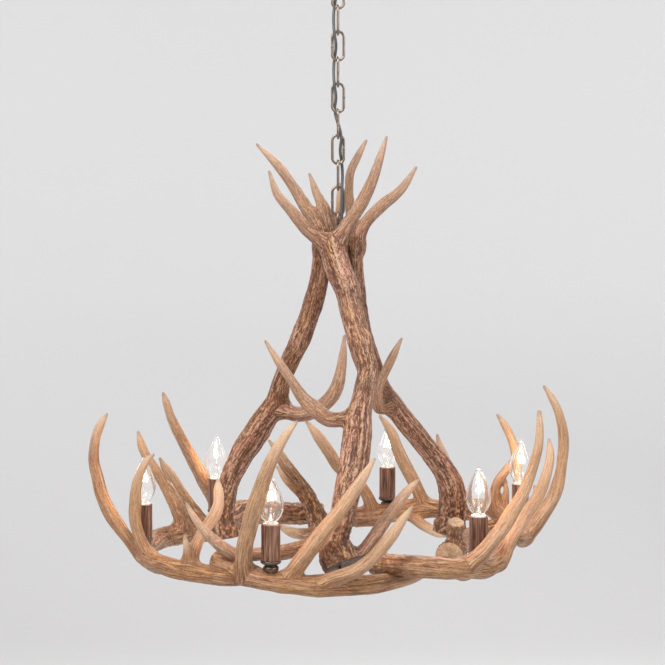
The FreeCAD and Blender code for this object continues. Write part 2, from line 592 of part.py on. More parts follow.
strap = Part.makeBox(STRAP_LENGTH, STRAP_WIDTH, STRAP_T, V(-STRAP_LENGTH / 2, -STRAP_WIDTH / 2, -STRAP_T))
strap = strap.cut(cylinder(0, 0, -5, NIPPLE_R + 0.15, 10))
for sx in (-1, 1):
    slot = Part.makeBox(SLOT_LENGTH, 2 * SLOT_R, 10, V(sx * BOX_SCREW_SPACING / 2 - SLOT_LENGTH / 2, -SLOT_R, -5))
    for end in (-1, 1):
        slot = slot.fuse(cylinder(sx * BOX_SCREW_SPACING / 2 + end * SLOT_LENGTH / 2, 0, -5, SLOT_R, 10))
    strap = strap.cut(slot)
strap = strap.cut(cylinder(-22, 5, -5, GROUND_R + 0.05, 10))
save("ceiling_crossbar", strap)

ground = cylinder(-22, 5, -9, GROUND_R, 9).fuse(prism(6, 4.2, (-22, 5, -STRAP_T - 3.3), (0, 0, 1), 2.9))
save("ground_screw", ground)

nipple = cylinder(0, 0, -44, NIPPLE_R, 44).cut(cylinder(0, 0, -45, 3.4, 46))
save("threaded_nipple", nipple)

nut = prism(6, 8.2, (0, 0, -STRAP_T - 4.2), (0, 0, 1), 4.0).cut(cylinder(0, 0, -8, NIPPLE_R + 0.05, 10))
save("nipple_locknut", nut)

R, D, T = CANOPY_R, CANOPY_DEPTH, CANOPY_T
outer = [(R + 1.5, 0), (R + 1.5, -1.4), (R - 0.6, -3.2), (R - 3.5, -8.5), (R - 8.5, -14.5), (R - 16, -20.2),
         (R - 25, -24.8), (R - 32, -27.8), (NIPPLE_R + 19, -D), (NIPPLE_R + 0.4, -D)]
inner = [(NIPPLE_R + 0.4, -D + T), (NIPPLE_R + 19, -D + T), (R - 32.4, -27.8 + T), (R - 25.5, -24.8 + T),
         (R - 16.7, -20.2 + T), (R - 9.4, -14.5 + T), (R - 4.5, -8.5 + T), (R - 1.7, -3.2 + T), (R - 1.0, 0)]
canopy = revolve(outer + inner)
canopy = canopy.cut(cylinder(CORD_EXIT[0], CORD_EXIT[1], -D - 5, BUSH_R, 20))
save("canopy", canopy)

bush = cylinder(CORD_EXIT[0], CORD_EXIT[1], -D - 3.5, BUSH_R - 0.1, 12)
bush = bush.fuse(cylinder(CORD_EXIT[0], CORD_EXIT[1], -D - 3.5, BUSH_R + 1.8, 3.4))
bush = bush.cut(cylinder(CORD_EXIT[0], CORD_EXIT[1], -D - 6, CORD_R + 0.3, 30))
save("cord_bushing", bush)

collar = revolve([(NIPPLE_R + 0.1, -D - 0.3), (10.5, -D - 0.3), (11.5, -D - 1.3), (11.5, -D - 4.5),
                  (10.0, -D - 6.3), (NIPPLE_R + 0.1, -D - 6.3)])
save("canopy_collar", collar)

loop_top = -D - 6.6
loop = revolve([(NIPPLE_R + 0.1, loop_top), (8.6, loop_top), (8.6, loop_top - 6), (7.0, loop_top - 8.5),
                (5.0, loop_top - 12), (5.0, loop_top - 14.5), (0, loop_top - 14.5), (0, -44.5),
                (NIPPLE_R + 0.1, -44.5)])
loop_zc = HINGE_TOP_Z + LOOP_R
loop = loop.fuse(ring(0, 0, loop_zc, LOOP_R, LOOP_WIRE_R, True))
save("canopy_loop", loop)

nuts = []
for i in range(3):
    t = math.radians(-60 + 60 * i)
    x, y = 27 * math.cos(t), 27 * math.sin(t)
    nuts.append(revolve([(0, -6.2), (3.0, -6.2), (4.6, -12.5), (4.8, -19.0), (3.4, -19.0), (2.2, -9.0), (0, -9.0)], x, y))
save("wire_connectors", Part.makeCompound(nuts))

# ---------------------------------------------------------------- chain
for k in range(CHAIN_LINKS):
    zc = (z_hinge[k] + z_hinge[k + 1]) / 2 + (2 * LINK_WIRE_R + LINK_GAP) / 2
    save("chain_link_%02d" % (k + 1), link(0, 0, zc, k % 2 == 1))

# ---------------------------------------------------------------- supply cord
cord = cord_tube(CORD_ROUTE, CORD_R)
save("supply_cord", cord)

# ---------------------------------------------------------------- crown fitting
eye_top = z_hinge[-1] + 2 * LINK_WIRE_R + LINK_GAP
eye_zc = eye_top - EYE_R
eye = ring(0, 0, eye_zc, EYE_R, LINK_WIRE_R, False)
eye = eye.fuse(cylinder(0, 0, HUB_BOTTOM - 9, EYE_SHANK_R, eye_zc - EYE_R - HUB_BOTTOM + 9))
save("crown_eye_bolt", eye)

hub = cylinder(0, 0, HUB_BOTTOM, HUB_R, HUB_TOP - HUB_BOTTOM)
hub = hub.cut(cylinder(0, 0, HUB_BOTTOM - 5, EYE_SHANK_R + 0.05, 120))
hub = hub.cut(cylinder(CORD_ROUTE[-1][0], CORD_ROUTE[-1][1], CORD_ROUTE[-1][2] - 0.5, CORD_R + 0.4, 60))
hub_blank = prism(36, HUB_R + 0.05, (0, 0, HUB_BOTTOM), (0, 0, 1), HUB_TOP - HUB_BOTTOM)

pin_list = []
for name, z in (("upright_front", PIN_Z[0]), ("upright_left", PIN_Z[1]), ("upright_right", PIN_Z[2])):
    line = spline(ANTLERS[name]["beam"], 4)
    q = min(line, key=lambda s: abs(s[2] - z))
    d = V(q[0], q[1], 0)
    reach = d.Length
    d.normalize()
    head = reach + q[3] * 0.3
    pin = prism(10, PIN_R, (d.x * 6.0, d.y * 6.0, z), (d.x, d.y, 0), head - 6.0)
    pin = pin.fuse(prism(6, PIN_R * 2.1, (d.x * head, d.y * head, z), (d.x, d.y, 0), 4.0))
    pin_list.append((name, pin))
for name, pin in pin_list:
    hub = hub.cut(pin)
save("crown_hub", hub)
save("crown_hub_nut", prism(6, 8.5, (0, 0, HUB_BOTTOM - 6.8), (0, 0, 1), 6.5).cut(
    cylinder(0, 0, HUB_BOTTOM - 12, EYE_SHANK_R + 0.05, 20)))
save("crown_bolts", Part.makeCompound([p for _, p in pin_list]))

# ---------------------------------------------------------------- antlers
order = list(ANTLERS)
made = {}
for name in order:
    made[name] = antler(name)

# long screws through each place where two antlers meet
screws = []
for a, b, p, d, length in JOINING_SCREWS:
    s = prism(8, SCREW_R, [q - e for q, e in zip(p, d)], d, length + 1.0)
    s = s.fuse(prism(8, SCREW_HEAD_R, [q - 2.4 * e for q, e in zip(p, d)], d, 2.4))
    screws.append((a, b, s))


def near(a, b, margin=0.5):
    x, y = a.BoundBox, b.BoundBox
    return not (x.XMin > y.XMax + margin or y.XMin > x.XMax + margin or x.YMin > y.YMax + margin
                or y.YMin > x.YMax + margin or x.ZMin > y.ZMax + margin or y.ZMin > x.ZMax + margin)


for i, name in enumerate(order):
    shape = made[name]
    for a, b in COPED:
        if a == name:
            shape = biggest(shape.cut(made[b]))
    if name.startswith("upright"):
        shape = biggest(shape.cut(hub_blank))
    made[name] = shape
for name in order:
    shape = made[name]
    tools = [s for a, b, s in screws if name in (a, b)]
    tools += [p for n, p in pin_list if n == name]
    for c, x, y, hosts in CANDLES:
        if name in hosts:
            tools.append(prism(24, SEAT_R + 0.4, (x, y, SEAT_Z), (0, 0, 1), 40))
            tools.append(prism(24, CUP_R + 0.6, (x, y, SEAT_Z + 8.8), (0, 0, 1), 30))
            tools.append(prism(12, STEM_R + 0.3, (x, y, SEAT_Z - STEM_DEEP - 0.3), (0, 0, 1), 80))
    for t in tools:
        shape = biggest(shape.cut(t))
    made[name] = shape
    save(name, shape)
save("joining_screws", Part.makeCompound([s for _, _, s in screws]))

# ---------------------------------------------------------------- candles
sockets, cups, stems, nuts, collars = [], [], [], [], []
for c, x, y, hosts in CANDLES:
    sleeve = cylinder(x, y, SLEEVE_BOTTOM, SLEEVE_R, SLEEVE_TOP - SLEEVE_BOTTOM).cut(
        cylinder(x, y, SLEEVE_BOTTOM - 1, SLEEVE_R - SLEEVE_T, 100))
    save("candle_sleeve_%s" % c, sleeve)
    cups.append(revolve([(STEM_R + 0.1, SEAT_Z + 0.1), (SEAT_R, SEAT_Z + 0.1), (SEAT_R, SEAT_Z + 5.0), (8.2, SEAT_Z + 6.6),
                         (8.2, SEAT_Z + 8.0), (CUP_R - 2.2, SEAT_Z + 9.2), (CUP_R, SEAT_Z + 11.2), (CUP_R, SEAT_Z + 13.7),
                         (STEM_R + 0.1, SEAT_Z + 13.7)], x, y))
    sockets.append(revolve([(0, SOCKET_Z), (9.0, SOCKET_Z), (9.0, SOCKET_Z + 3), (SOCKET_R, SOCKET_Z + 3),
                            (SOCKET_R, SLEEVE_TOP + 1.6), (BASE_R + 0.5, SLEEVE_TOP + 1.6),
                            (BASE_R + 0.5, BASE_Z - 1.0), (0, BASE_Z - 1.0)], x, y))
    stems.append(revolve([(2.6, SEAT_Z - STEM_DEEP), (STEM_R, SEAT_Z - STEM_DEEP), (STEM_R, SOCKET_Z - 0.3),
                          (2.6, SOCKET_Z - 0.3)], x, y))
    nuts.append(prism(6, 8.4, (x, y, SEAT_Z + 14.0), (0, 0, 1), 4.0).cut(cylinder(x, y, SEAT_Z, STEM_R + 0.05, 30)))
    g = [(r, SLEEVE_TOP + h) for r, h in BULB_OUT]
    i = [(max(r - BULB_T, 0), SLEEVE_TOP + h - (BULB_T if n == len(BULB_OUT) - 1 else 0)) for n, (r, h) in enumerate(BULB_OUT)]
    save("bulb_glass_%s" % c, revolve(g + i[::-1], x, y))
    b = revolve([(0, BASE_Z), (2.2, BASE_Z), (2.6, BASE_Z + 1.8), (BASE_R, BASE_Z + 3.4), (BASE_R, SLEEVE_TOP - 1.0),
                 (BASE_R - 1.0, SLEEVE_TOP - 0.9), (BASE_R - 1.0, SLEEVE_TOP + 5.0), (2.6, SLEEVE_TOP + 9.0), (2.0, SLEEVE_TOP + 20.0),
                 (1.2, SLEEVE_TOP + 26.0), (1.2, SLEEVE_TOP + 44.0), (0, SLEEVE_TOP + 44.0)], x, y)
    save("bulb_base_%s" % c, b)
save("candle_cups", Part.makeCompound(cups))
save("lamp_sockets", Part.makeCompound(sockets))
save("candle_stems", Part.makeCompound(stems))
save("stem_locknuts", Part.makeCompound(nuts))
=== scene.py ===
import bpy
import bmesh
import math
import numpy as np
from mathutils import Vector, Matrix


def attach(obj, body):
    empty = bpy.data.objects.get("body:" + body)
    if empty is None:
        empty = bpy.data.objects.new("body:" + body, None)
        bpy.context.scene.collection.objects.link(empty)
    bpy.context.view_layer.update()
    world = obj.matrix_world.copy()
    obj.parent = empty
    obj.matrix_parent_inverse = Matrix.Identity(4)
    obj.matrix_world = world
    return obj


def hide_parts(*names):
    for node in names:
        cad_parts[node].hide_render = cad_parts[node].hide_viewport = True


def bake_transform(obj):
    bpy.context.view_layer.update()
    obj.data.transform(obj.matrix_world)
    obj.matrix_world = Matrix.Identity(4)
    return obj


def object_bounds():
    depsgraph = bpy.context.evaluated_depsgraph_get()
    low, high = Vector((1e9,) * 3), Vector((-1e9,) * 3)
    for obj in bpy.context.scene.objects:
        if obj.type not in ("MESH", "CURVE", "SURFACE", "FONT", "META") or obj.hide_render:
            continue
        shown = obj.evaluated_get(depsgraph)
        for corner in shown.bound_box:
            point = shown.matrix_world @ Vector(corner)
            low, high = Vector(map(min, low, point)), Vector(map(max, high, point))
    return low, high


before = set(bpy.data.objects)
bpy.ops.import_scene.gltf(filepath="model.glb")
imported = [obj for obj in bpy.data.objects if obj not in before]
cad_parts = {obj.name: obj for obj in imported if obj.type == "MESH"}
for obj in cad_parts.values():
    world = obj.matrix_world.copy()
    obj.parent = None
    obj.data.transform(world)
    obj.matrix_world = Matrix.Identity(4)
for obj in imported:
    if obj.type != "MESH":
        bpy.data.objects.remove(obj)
cad_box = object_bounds()

CAM_F, CAM_PITCH, CAM_AT = 1862.0, 4.35, (-0.008, -2.7, -0.405)
GRID = 0.0014
FIELD_REACH = 0.012
BLEND_K = 0.009

# the supply cord's line, from inside the canopy, in and out of the links, to the crown, in metres
CORD_ROUTE = [
    (-0.017, 0.007, -0.014), (-0.017, 0.007, -0.04), (-0.01, 0.007, -0.053),
    (-0.0056, 0.007, -0.06785), (-0.0066, 0, -0.08635), (-0.0056, -0.007, -0.10485),
    (-0.0022, 0, -0.12335), (-0.0056, 0.007, -0.14185), (-0.0068, 0, -0.16035),
    (-0.0056, -0.007, -0.17885), (-0.0022, 0, -0.19735), (-0.0056, 0.007, -0.21585),
    (-0.0066, 0, -0.23435), (-0.0055, -0.007, -0.25285), (-0.0022, 0.0003, -0.27135),
    (-0.0063, 0.0061, -0.28985), (0.0063, -0.0061, -0.32685), (0.0022, -0.0003, -0.34535),
    (0.0055, 0.007, -0.36385), (0.0068, 0, -0.38235), (0.0056, -0.0056, -0.40085),
    (0.005, -0.0066, -0.41935), (0.0056, -0.0062, -0.43785), (0.0052, -0.0072, -0.456),
    (0.0053, -0.0071, -0.478),
]

# each antler: its beam and its tines, as (x, y, z, radius) points along the middle, in millimetres
ANTLERS = {
    "upright_front": {
        "beam": [
            (-8.7, -24, -484, 18.7), (-3, -28, -503.9, 20.1), (2.6, -34, -520.9, 19.4),
            (13.3, -46, -546.1, 18.6), (16.2, -53, -560.1, 16.9), (22.3, -66, -588, 17.2),
            (30.8, -80, -615.3, 18.3), (36.1, -92, -635.3, 16.9), (41.6, -104, -655.1, 15.4),
            (37.4, -118, -674.8, 14.8), (33.2, -132, -694.2, 15.3), (27.7, -150, -720.1, 19),
            (26.2, -162, -739.3, 20.8), (19.1, -186, -784.1, 20.6), (9.6, -206, -821.9, 17.6),
            (3.4, -221, -853.4, 16.1), (-2, -227, -872.7, 16.1), (-2.6, -231, -886.8, 20.8),
            (2, -236, -898.1, 25.5),
        ],
        "crown_a": [
            (-11.7, -26, -484.2, 14.5), (-27.5, -28, -472.7, 11.7), (-45.5, -30, -458.6, 10),
            (-67.2, -33, -433, 7.9), (-86.8, -36, -409.2, 6.3), (-98.3, -38, -377.6, 2.1),
        ],
        "crown_b": [
            (-5.8, -26, -486.8, 14.4), (5.6, -27, -467.8, 12.2), (18.9, -29, -446.2, 10.5),
            (35.5, -31, -419, 9.4), (48.7, -33, -391, 8), (59.7, -35, -357.9, 6.1),
            (68.7, -36, -329.1, 2.1),
        ],
        "side": [
            (25.8, -150, -717.2, 15.2), (9.2, -147, -718.9, 11.2), (-13, -143, -719.4, 11.3),
            (-31, -140, -706.7, 11.5), (-47.9, -137, -691.9, 9.2), (-65.1, -133, -667.1, 6.9),
            (-83, -128, -641, 5.8), (-101.2, -122, -613.4, 2.1),
        ],
        "brow": [
            (-2, -228, -883.4, 16.1), (-22.2, -219, -878.3, 11.5), (-38.4, -214, -882, 10.1),
            (-72.3, -209, -892.5, 10.2), (-103.3, -212, -894.7, 9.5), (-124.6, -221, -894.2, 8.8),
            (-140.2, -230, -891.1, 8.7), (-155.3, -231, -882.1, 8.4), (-171.4, -224, -869.8, 7.4),
            (-184.1, -214, -858.7, 6.1), (-196.6, -203, -844.3, 4.7), (-206.5, -194, -829, 2),
        ],
        "bez": [
            (8.8, -230, -899.3, 13.4), (25.5, -233, -896, 10.7), (40.3, -229, -879.1, 9.7),
            (54.5, -223, -859.8, 9.1), (68.9, -215, -840.8, 8.4), (83.8, -212, -820.9, 7.4),
            (95.9, -210, -805.6, 5.7), (108.1, -208, -794.3, 2),
        ],
    },
    "upright_left": {
        "beam": [
            (-22.7, 12, -485, 12.7), (-24, 15, -508.4, 13.9), (-27.4, 18, -535, 14.4),
            (-35.2, 21, -564.4, 15.6), (-44.4, 25, -593.7, 14.3), (-55.7, 31, -623.2, 15.5),
            (-69.7, 39, -653.5, 14.4), (-82.7, 47, -684.6, 13.3), (-90.7, 54, -715.8, 16.5),
            (-110.5, 64, -747.1, 18.6), (-129, 74, -777.7, 19.7), (-144.3, 82, -800.9, 18.8),
            (-163.1, 92, -840.6, 16), (-169.2, 97, -867.8, 16.2), (-171.6, 100, -891.5, 17.2),
            (-169.9, 101, -910.1, 19), (-167, 101, -927, 21.3),
        ],
        "crown_a": [
            (-23.4, 12, -486.5, 13.2), (-26.2, 15, -466.2, 11.7), (-31.6, 17, -450.4, 11),
            (-46.9, 20, -428.5, 9.7), (-65.5, 24, -398.9, 7.9), (-88.1, 28, -367.7, 6.8),
            (-118.1, 31, -337.4, 2.2),
        ],
        "crown_b": [
            (-20.4, 14, -482.2, 11.7), (-14.4, 18, -456.1, 8.9), (-19.5, 22, -431.7, 9.2),
            (-30.8, 25, -409.3, 6.5), (-41.3, 27, -380.6, 2.2),
        ],
        "crown_c": [
            (-17.5, 14, -485.1, 10.9), (-4.4, 22, -459.1, 8), (2.2, 27, -435.8, 6.5),
            (2.8, 30, -415.4, 5.9), (2.2, 32, -395, 2.2),
        ],
        "side": [
            (-86.2, 57, -727.5, 17.9), (-74.5, 52, -732.3, 12.6), (-60.2, 46, -735.6, 11.5),
            (-38.9, 34, -730.6, 11.5), (-14.6, 18, -712.3, 11), (-1.9, 8, -691.2, 9.8),
            (4, 2, -667.5, 7.8), (7.3, -2, -641.4, 5.8), (9.4, -4, -615.2, 2.2),
        ],
    },
    "upright_right": {
        "beam": [
            (24.7, 11, -484.9, 12.4), (24.1, 13, -508.4, 13.2), (24.5, 16, -527.6, 13.5),
            (28.2, 24, -557.3, 13.2), (32.4, 29, -587.1, 13.1), (38.6, 35, -617, 13.1),
            (46.8, 42, -647.1, 13.7), (55, 48, -674.3, 14.9), (65.4, 54, -700.2, 15.5),
            (81.8, 61, -723.9, 15.7), (101.7, 69, -750.1, 16), (123.8, 78, -778, 15.9),
            (143, 86, -803.1, 16.2), (161.8, 93, -828.4, 17.5), (172.6, 98, -854.1, 20.5),
            (175.7, 101, -877.8, 22.4), (173, 103, -901.4, 23), (168.4, 103, -922.9, 22.5),
        ],
        "crown_a": [
            (26.2, 15, -485.1, 12.4), (22, 25, -457.7, 9.5), (18.5, 34, -433, 7.7),
            (16.3, 37, -403.7, 6.4), (17.8, 38, -379.6, 6.3), (28.6, 39, -355.7, 5.7),
            (41.2, 40, -331.6, 2.2),
        ],
        "crown_b": [
            (28, 14, -487.9, 11.6), (31.9, 17, -470.6, 9.8), (40.7, 20, -451, 9.1),
            (63.1, 24, -427.8, 8.9), (92.3, 27, -402.9, 7), (114.1, 29, -370.7, 2.2),
        ],
        "side": [
            (74.7, 58, -721.6, 14.9), (60.8, 37, -723.7, 10), (59.5, 28, -709.3, 7.7),
            (60.5, 24, -694.6, 6.7), (67.9, 22, -673.9, 6.5), (81.1, 22, -645.8, 6.1),
            (93.3, 24, -621.3, 2.2),
        ],
    },
    "ring_front": {
        "beam": [
            (-155.3, -203, -910.2, 21), (-144, -212, -912.5, 19.6), (-128.4, -226, -916.4, 17.5),
            (-113.1, -239, -919.8, 15.7), (-99.4, -248, -922, 14.3), (-64.5, -255, -925.9, 13.6),
            (-27.3, -255, -929.8, 14.4), (8.6, -255, -929.3, 14.2), (42.1, -252, -927.9, 13.5),
            (71.9, -240, -926.1, 12.1), (93.8, -228, -924.7, 9.5), (110.4, -216, -921.6, 7),
            (122.8, -207, -917.6, 4.1),
        ],
        "tine_a": [
            (-126.5, -238, -916.6, 13.4), (-126.4, -248, -895.7, 12.3), (-124.1, -257, -873.7, 11.3),
            (-119, -267, -851.7, 11.2), (-113.2, -276, -830.1, 11.4), (-107.8, -280, -812.2, 11.3),
            (-102.5, -280, -796.3, 10.7), (-96, -283, -777.3, 9.7), (-88.8, -282.5, -758.9, 8.5),
            (-78.1, -280, -738.1, 7.5), (-65.7, -276, -719.5, 5.2), (-55.3, -272, -707.5, 2),
        ],
        "tine_b": [
            (-74, -250, -925, 12.7), (-59.8, -257, -908.7, 11.3), (-46.4, -262, -890.2, 11.6),
            (-22.5, -268, -856.9, 10.9), (4.5, -268, -822.9, 9.9), (21.7, -264, -798.9, 8.6),
            (31.7, -260, -784.2, 7.3), (47.8, -250, -759.6, 2),
        ],
        "tine_c": [
            (-27.3, -257, -927.5, 11.3), (-4.7, -267, -916, 9.6), (19, -275, -906.3, 9.6),
            (38.7, -280, -891.9, 9.2), (55.7, -283, -874, 8.9), (71.4, -284, -853.9, 7.9),
            (83.8, -284, -835.4, 5.9), (96.3, -282, -818.5, 2),
        ],
    },
    "ring_left": {
        "beam": [
            (-124.8, -219, -925.4, 9.4), (-140.7, -224, -924.3, 12.1), (-156.7, -226, -922.5, 13.1),
            (-179.9, -222, -920, 13.5), (-214.9, -205, -918, 13.6), (-237.5, -180, -916.9, 13.4),
            (-252.6, -150, -919.2, 14.1), (-266.5, -120, -918.6, 13.7), (-276.1, -104, -916.9, 12.6),
            (-285.4, -103, -907.7, 10.5), (-295.5, -102, -895.6, 9.2), (-308.3, -97, -880, 10),
            (-322.2, -88, -862.1, 10.1), (-336, -77, -836, 9.2), (-343.5, -68, -811.1, 8.7),
            (-348.3, -62, -794.2, 8.2), (-349.5, -57, -780.4, 7.9), (-346.9, -54, -757.9, 6.8),
            (-339.7, -51, -737.9, 6), (-331.2, -49, -723.8, 2.1),
        ],
        "tine_a": [
            (-263.5, -125, -917.4, 11.9), (-272.6, -123, -900.8, 9.1), (-279.2, -121, -885.6, 8.5),
            (-284.7, -121, -861.6, 8.4), (-283.5, -122, -840.2, 9.1), (-283, -123, -825.2, 8),
            (-279.2, -124, -807.7, 6.9), (-274.3, -125, -793.5, 5.7), (-266.8, -125, -779.8, 4.5),
            (-257.8, -125, -771.8, 2.1),
        ],
        "tine_b": [
            (-198.1, -212, -913.8, 11.5), (-198.1, -202, -900.7, 9.2), (-194.2, -190, -887.9, 8.4),
            (-187, -174, -874.4, 8), (-178.4, -158, -862.7, 8.6), (-170.2, -145, -850.3, 8.7),
            (-166.4, -134, -838.2, 8), (-167.3, -127, -821, 7), (-168.2, -122, -807, 2.1),
        ],
        "stub": [
            (-204.3, -211, -911.3, 8.8), (-204.1, -212, -889.2, 6.1), (-207.6, -212, -872.8, 2.7),
        ],
    },
    "ring_back_left": {
        "beam": [
            (-273.7, -76, -916.5, 10.9), (-271.8, -48, -915.7, 13.5), (-269.1, -18, -915, 15.3),
            (-258.4, 20, -916.2, 15.6), (-237.8, 55, -917.7, 15.6), (-212.1, 94, -920.8, 16.1),
            (-191.6, 130, -924.6, 16.5), (-173.8, 165, -918.3, 18.8), (-156.6, 195, -911.5, 21.4),
            (-119.9, 225, -912.7, 20.9), (-83.7, 238, -917.2, 18.7), (-55.1, 241, -918.9, 17.7),
            (-24.7, 239, -919.7, 15.9),
        ],
        "tine_a": [
            (-240.5, 50, -914.3, 12.2), (-233.7, 46, -894.1, 9.6), (-240.6, 42, -873.7, 8.8),
            (-256.5, 36, -841.4, 8.2), (-270.2, 30, -816.7, 7.8), (-284, 25, -792.3, 6.7),
            (-290.3, 22, -775.4, 6), (-293.7, 20, -758.8, 2.2),
        ],
        "tine_b": [
            (-201, 110, -919.4, 13.7), (-212.5, 102, -902.6, 12.9), (-225, 97, -884.8, 12.5),
            (-237.9, 90, -863.8, 11.7), (-249.2, 82, -841.1, 10.2), (-258.3, 76, -822, 7.5),
            (-266.7, 70, -805.1, 2.2),
        ],
        "tine_c": [
            (-228.9, 58, -914.4, 11.2), (-232.1, 53, -896.9, 10.5), (-238.3, 48, -876.4, 9.7),
            (-245.3, 44, -856.2, 7.4), (-248.9, 40, -839.1, 2.2),
        ],
        "tine_d": [
            (-170.9, 172, -915, 17.1), (-185, 175, -895.1, 13.3), (-196.4, 172, -874.1, 11.7),
            (-206.8, 166, -855.1, 11.3), (-218.5, 158, -831.2, 10.4), (-233, 148, -800.2, 9.2),
            (-246, 139, -772.6, 8.1), (-255.8, 130, -748.4, 6.7), (-262.5, 122, -722.8, 5.2),
            (-265.9, 118, -711.7, 2.3),
        ],
    },
    "inner_back": {
        "beam": [
            (-19.9, 212, -941.3, 16.6), (-32.6, 209, -920.2, 17.3), (-39.5, 205, -901.9, 14.7),
            (-52.8, 198, -872.8, 11.4), (-68, 190, -850.8, 10.4), (-82.4, 182, -829.6, 9.6),
            (-90.2, 176, -814.6, 8.2), (-106.5, 168, -791.4, 2.3),
        ],
        "tine_a": [
            (-51.1, 203, -881.9, 9.1), (-64.9, 208, -875.8, 6.4), (-83.6, 212, -857.7, 4.8),
            (-95.1, 214, -839.2, 2.4),
        ],
        "brow": [
            (-27.7, 206, -925.8, 13.4), (-35.7, 196, -939.8, 9.7), (-58.9, 186, -941.1, 9.2),
            (-77.5, 178, -934.4, 7.1), (-91.6, 172, -924.6, 2.3),
        ],
    },
    "ring_back": {
        "beam": [
            (-5.6, 232, -921.7, 11.6), (19.9, 240, -923.7, 15.2), (52.2, 248, -924, 16.7),
            (80.9, 252, -919.8, 16.2), (108.2, 250, -913.2, 15.2), (139.5, 240, -909.5, 15.1),
            (165.8, 225, -908.9, 15.1), (189.8, 205, -908.1, 14.2), (210.6, 188, -908.4, 11.8),
            (228.1, 172, -907.1, 7),
        ],
        "tine_a": [
            (57.9, 248, -922.2, 13.3), (52.2, 245, -901, 10.3), (42.7, 240, -881.3, 9.4),
            (22.8, 228, -859.4, 9.8), (0.8, 215, -838.9, 9.9), (-11.8, 205, -817.1, 9.4),
            (-31.9, 193, -786.2, 8.4), (-48.8, 184, -763.2, 2.3),
        ],
        "tine_b": [
            (139.5, 240, -909.4, 13.6), (131.5, 240, -888.4, 10.8), (121.7, 237, -867, 10.7),
            (111.1, 233, -847.2, 10.7), (101.4, 229, -827.4, 10.3), (93.3, 226, -807.8, 9.5),
            (86.1, 223, -788.3, 8.3), (77.2, 219, -771.9, 6.3), (66.8, 215, -758.7, 2.4),
        ],
        "tine_c": [
            (177.8, 214, -909.7, 11.1), (180.5, 214, -876.2, 8.5), (174.7, 213, -841.3, 6.7),
            (168.1, 212, -819.2, 5.8), (160.5, 211, -803.7, 5.3), (157, 210, -788.8, 2.4),
        ],
        "tine_d": [
            (109.4, 249, -912.7, 12.2), (120, 238, -923.8, 8.8), (130.5, 222, -930.3, 8.5),
            (145.4, 198, -935.7, 8), (158.5, 178, -939, 6.6), (168.6, 165, -940.5, 2.3),
        ],
    },
    "ring_right": {
        "beam": [
            (50.9, -214, -905.9, 16.7), (66.8, -232, -905.4, 15.1), (82.2, -245, -903.6, 15),
            (101.9, -254, -903.2, 15.4), (121.6, -255, -904.6, 15), (149.1, -242, -909.3, 14.2),
            (178.1, -212, -914.5, 14.2), (201, -180, -919, 16.4), (216.8, -155, -914.3, 15.2),
            (230.1, -130, -905.1, 13.3), (240.7, -106, -897, 12), (248.1, -88, -891.8, 8.5),
        ],
        "tine_a": [
            (166.5, -222, -914.5, 13.5), (179.8, -224, -903.2, 12.1), (194.8, -221, -890.8, 11.5),
            (208.5, -217, -874.6, 10.8), (222.5, -210, -857.7, 10.5), (234.5, -203, -840.2, 10.2),
            (245.9, -196, -823.6, 9.2), (256.9, -187, -802.4, 8.3), (268.5, -176, -773.1, 7.2),
            (274.4, -171, -750.4, 6.3), (275.9, -167, -728.9, 5.5), (275.4, -164, -707, 3.4),
        ],
        "tine_b": [
            (220.7, -158, -915.1, 13.8), (229.9, -147, -903.2, 12.1), (238.3, -138, -888.1, 10.8),
            (249.6, -128, -873.7, 10.1), (262.4, -118, -857.1, 9.8), (275.9, -109, -841, 9.1),
            (286.6, -100, -824, 8.5), (294.4, -92, -803.9, 7.4), (299, -87, -787.5, 6.6),
            (300.3, -83, -771, 5.3), (298.7, -80, -756.1, 2.1),
        ],
    },
    "ring_back_right": {
        "beam": [
            (257, -70, -899.5, 10.7), (266.6, -32, -905.9, 12.3), (275.3, 10, -912.3, 13.2),
            (279.7, 52, -917.1, 13.8), (279.3, 92, -920, 14), (267.6, 128, -915, 13.4),
            (248.6, 158, -900, 13.2), (225.7, 182, -894.7, 11.7), (202.2, 203, -896.7, 8.7),
            (188.8, 214, -898.5, 4.7),
        ],
        "tine_a": [
            (267.4, -24, -907.4, 13.8), (282.6, -24, -892, 12.7), (297.8, -23, -870.8, 12),
            (312, -24, -848.8, 10.7), (319.9, -26, -822.2, 9.1), (322.8, -27, -806.5, 8.4),
            (325.5, -28, -782.9, 8.1), (326.2, -29, -764.8, 7.9), (323.1, -30, -741.7, 7.1),
            (316.3, -31, -718.8, 6.2), (306.5, -32, -700.3, 5), (296.6, -33, -685.4, 2.2),
        ],
        "tine_b": [
            (266, 128, -916.5, 12.3), (274.1, 130, -893.6, 9.1), (277, 131, -862.8, 7.8),
            (274.4, 131, -824.1, 6.9), (270, 129, -797.7, 6.7), (265.3, 127, -781.8, 6.7),
            (254, 124, -759.9, 5.9), (243.7, 121, -745.7, 2.3),
        ],
        "tine_c": [
            (248.6, 158, -901.6, 12.4), (243.7, 156, -879.3, 9.3), (244.1, 155, -865.1, 7.7),
            (249.2, 153, -850.7, 7.2), (260.8, 150, -833.7, 6.3), (269.9, 147, -814.9, 2.3),
        ],
        "tine_d": [
            (277.5, 2, -913, 8.8), (293.1, 20, -877.7, 6.7), (294.2, 26, -857.6, 6.1),
            (291, 30, -840.3, 2.2),
        ],
        "tine_e": [
            (258.4, 146, -907.3, 9.3), (259.6, 152, -888, 6.2), (261.1, 154, -869.6, 4.5),
            (260.1, 155, -853.5, 2.3),
        ],
    },
    "inner_right": {
        "beam": [
            (161.7, -32, -933.8, 18.9), (171.5, -4, -931.1, 16.1), (183.3, 40, -929.9, 14.9),
            (195.1, 80, -928.4, 13.6), (213.4, 102, -922.6, 12.2), (232.6, 114, -916.3, 10.7),
